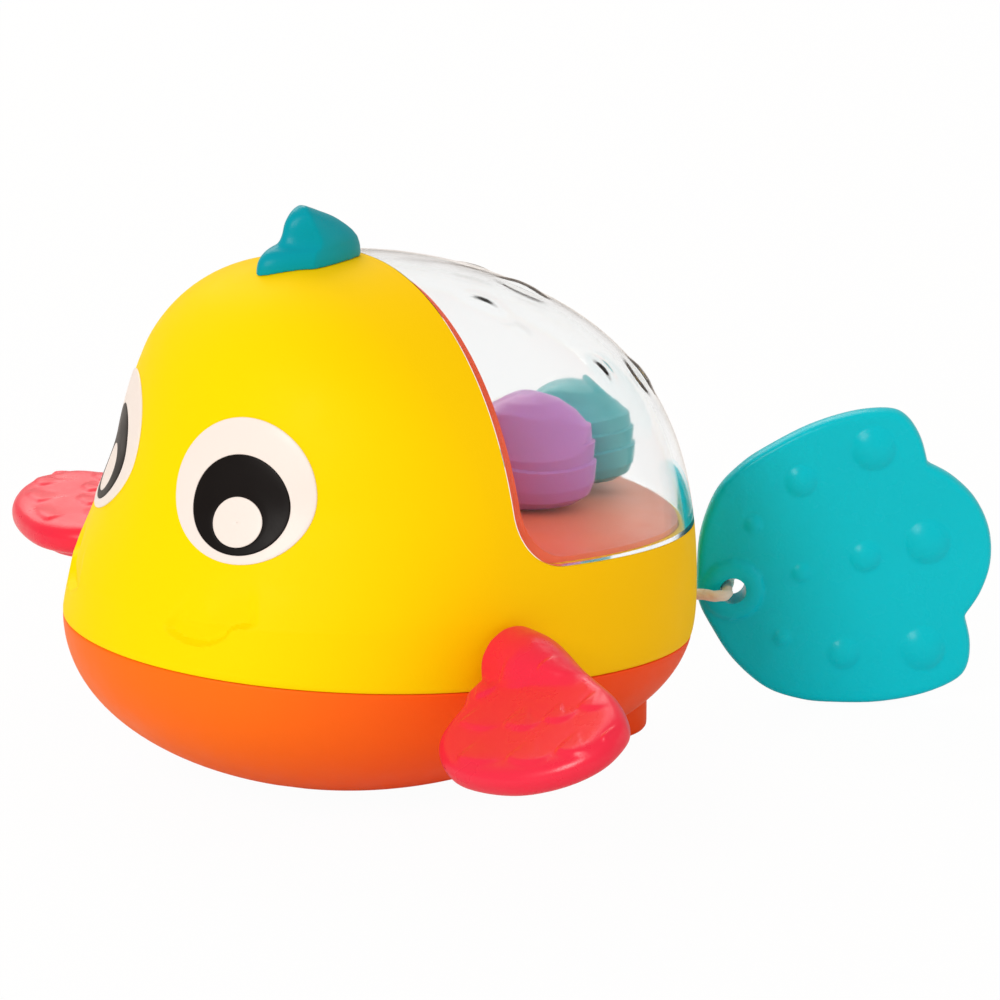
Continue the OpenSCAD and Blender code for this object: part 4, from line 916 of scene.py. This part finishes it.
def build_stage():
    floor = bpy.data.meshes.new("floor")
    points, faces = [], []
    depth = 60
    for k in range(depth + 1):
        u = -3.0 + 6.0 * k / depth
        points += [(-4, u, -0.0005), (4, u, -0.0005)]
    faces = [(2 * k, 2 * k + 1, 2 * k + 3, 2 * k + 2) for k in range(depth)]
    floor.from_pydata(points, [], faces)
    obj = bpy.data.objects.new("floor", floor)
    bpy.context.scene.collection.objects.link(obj)
    made = bpy.data.materials.new("pale_floor")
    made.use_nodes = True
    tree = made.node_tree
    tree.nodes.clear()
    out = tree.nodes.new("ShaderNodeOutputMaterial")
    flat = tree.nodes.new("ShaderNodeBsdfDiffuse")
    flat.inputs["Color"].default_value = (0.86, 0.86, 0.86, 1)
    glow = tree.nodes.new("ShaderNodeEmission")
    total = tree.nodes.new("ShaderNodeMixShader")
    share = tree.nodes.new("ShaderNodeMath")
    share.operation = "MULTIPLY"
    share.inputs[1].default_value = FLOOR_WHITE
    tree.links.new(seen_rays(tree), share.inputs[0])
    tree.links.new(share.outputs[0], total.inputs[0])
    tree.links.new(flat.outputs[0], total.inputs[1])
    tree.links.new(glow.outputs[0], total.inputs[2])
    # The floor is open from below, so that the underside can be looked at
    below = tree.nodes.new("ShaderNodeNewGeometry")
    through = tree.nodes.new("ShaderNodeBsdfTransparent")
    opened = tree.nodes.new("ShaderNodeMixShader")
    tree.links.new(below.outputs["Backfacing"], opened.inputs[0])
    tree.links.new(total.outputs[0], opened.inputs[1])
    tree.links.new(through.outputs[0], opened.inputs[2])
    tree.links.new(opened.outputs[0], out.inputs["Surface"])
    floor.materials.append(made)

    world = bpy.data.worlds.new("studio")
    bpy.context.scene.world = world
    world.use_nodes = True
    tree = world.node_tree
    back = tree.nodes["Background"]
    seen = seen_rays(tree)
    level = tree.nodes.new("ShaderNodeMapRange")
    level.inputs["To Min"].default_value = WORLD_LIGHT
    level.inputs["To Max"].default_value = 1.0
    tree.links.new(seen, level.inputs["Value"])
    tree.links.new(level.outputs[0], back.inputs["Strength"])
    tint = tree.nodes.new("ShaderNodeMix")
    tint.data_type = "RGBA"
    tint.inputs[6].default_value = (1.0, 0.86, 0.76, 1)
    tint.inputs[7].default_value = (1, 1, 1, 1)
    tree.links.new(seen, tint.inputs[0])
    tree.links.new(tint.outputs[2], back.inputs["Color"])

    for name, at, size, power, colour in LAMPS:
        lamp = bpy.data.lights.new(name, "AREA")
        lamp.size, lamp.energy, lamp.color = size, power, colour
        obj = bpy.data.objects.new(name, lamp)
        obj.location = at
        obj.rotation_mode = "QUATERNION"
        obj.rotation_quaternion = (Vector((0, 0, 0.05)) - Vector(at)).to_track_quat("-Z", "Y")
        bpy.context.scene.collection.objects.link(obj)


def build_camera():
    """The photograph's view; it is aimed off the middle, since the photograph is a crop."""
    az, el = math.radians(VIEW_AZIMUTH), math.radians(VIEW_ELEVATION)
    right = Vector((math.cos(az), math.sin(az), 0))
    back = Vector((math.sin(az) * math.cos(el), -math.cos(az) * math.cos(el), math.sin(el)))
    up = back.cross(right)
    aim = -back + right * ((500 - VIEW_CENTRE[0]) / VIEW_FOCAL) - up * ((500 - VIEW_CENTRE[1]) / VIEW_FOCAL)
    turn = (-back).rotation_difference(aim)
    right, up, back = turn @ right, turn @ up, turn @ back
    camera = bpy.data.cameras.new("camera")
    camera.sensor_width = 36
    camera.lens = 36 * VIEW_FOCAL * aim.length / 1000
    camera.clip_start, camera.clip_end = 0.05, 20
    obj = bpy.data.objects.new("camera", camera)
    start = Vector(VIEW_TARGET) * MM + (turn.inverted() @ back) * VIEW_DISTANCE * MM
    obj.matrix_world = Matrix.Translation(start) @ Matrix((right, up, back)).transposed().to_4x4()
    bpy.context.scene.collection.objects.link(obj)
    bpy.context.scene.camera = obj
    bpy.context.scene.view_settings.view_transform = "Standard"


build_camera()
build_cord()
build_hull()
build_top_shell()
build_dome()
build_tray()
build_dorsal()
eye_film("eye_white", 10.3, 2.9, 15.0, 0.0, "white_film", "eye_whites")
eye_film("eye_pupil", 5.2, 6.4, 10.3, 2.9, "black_film", "eye_pupils")
eye_film("eye_glint", 0.05, 6.4, 5.2, 6.4, "white_film", "eye_glints")
build_fin("left_blade", "left_fin", 29.9, 1)
build_fin("right_blade", "right_fin", 4.1, -1)
build_tail()
build_lobe("purple_scales", "purple_lobe", -115, "purple_plastic", 0.05)
build_lobe("teal_scales", "teal_lobe", -6, "teal_plastic", -0.05, tall=19.8, fan=1.2)
build_lobe("coral_scales", "coral_lobe", 125, "coral_plastic", 0.05, tall=15.5)
build_hub()
build_grommet()
build_stage()
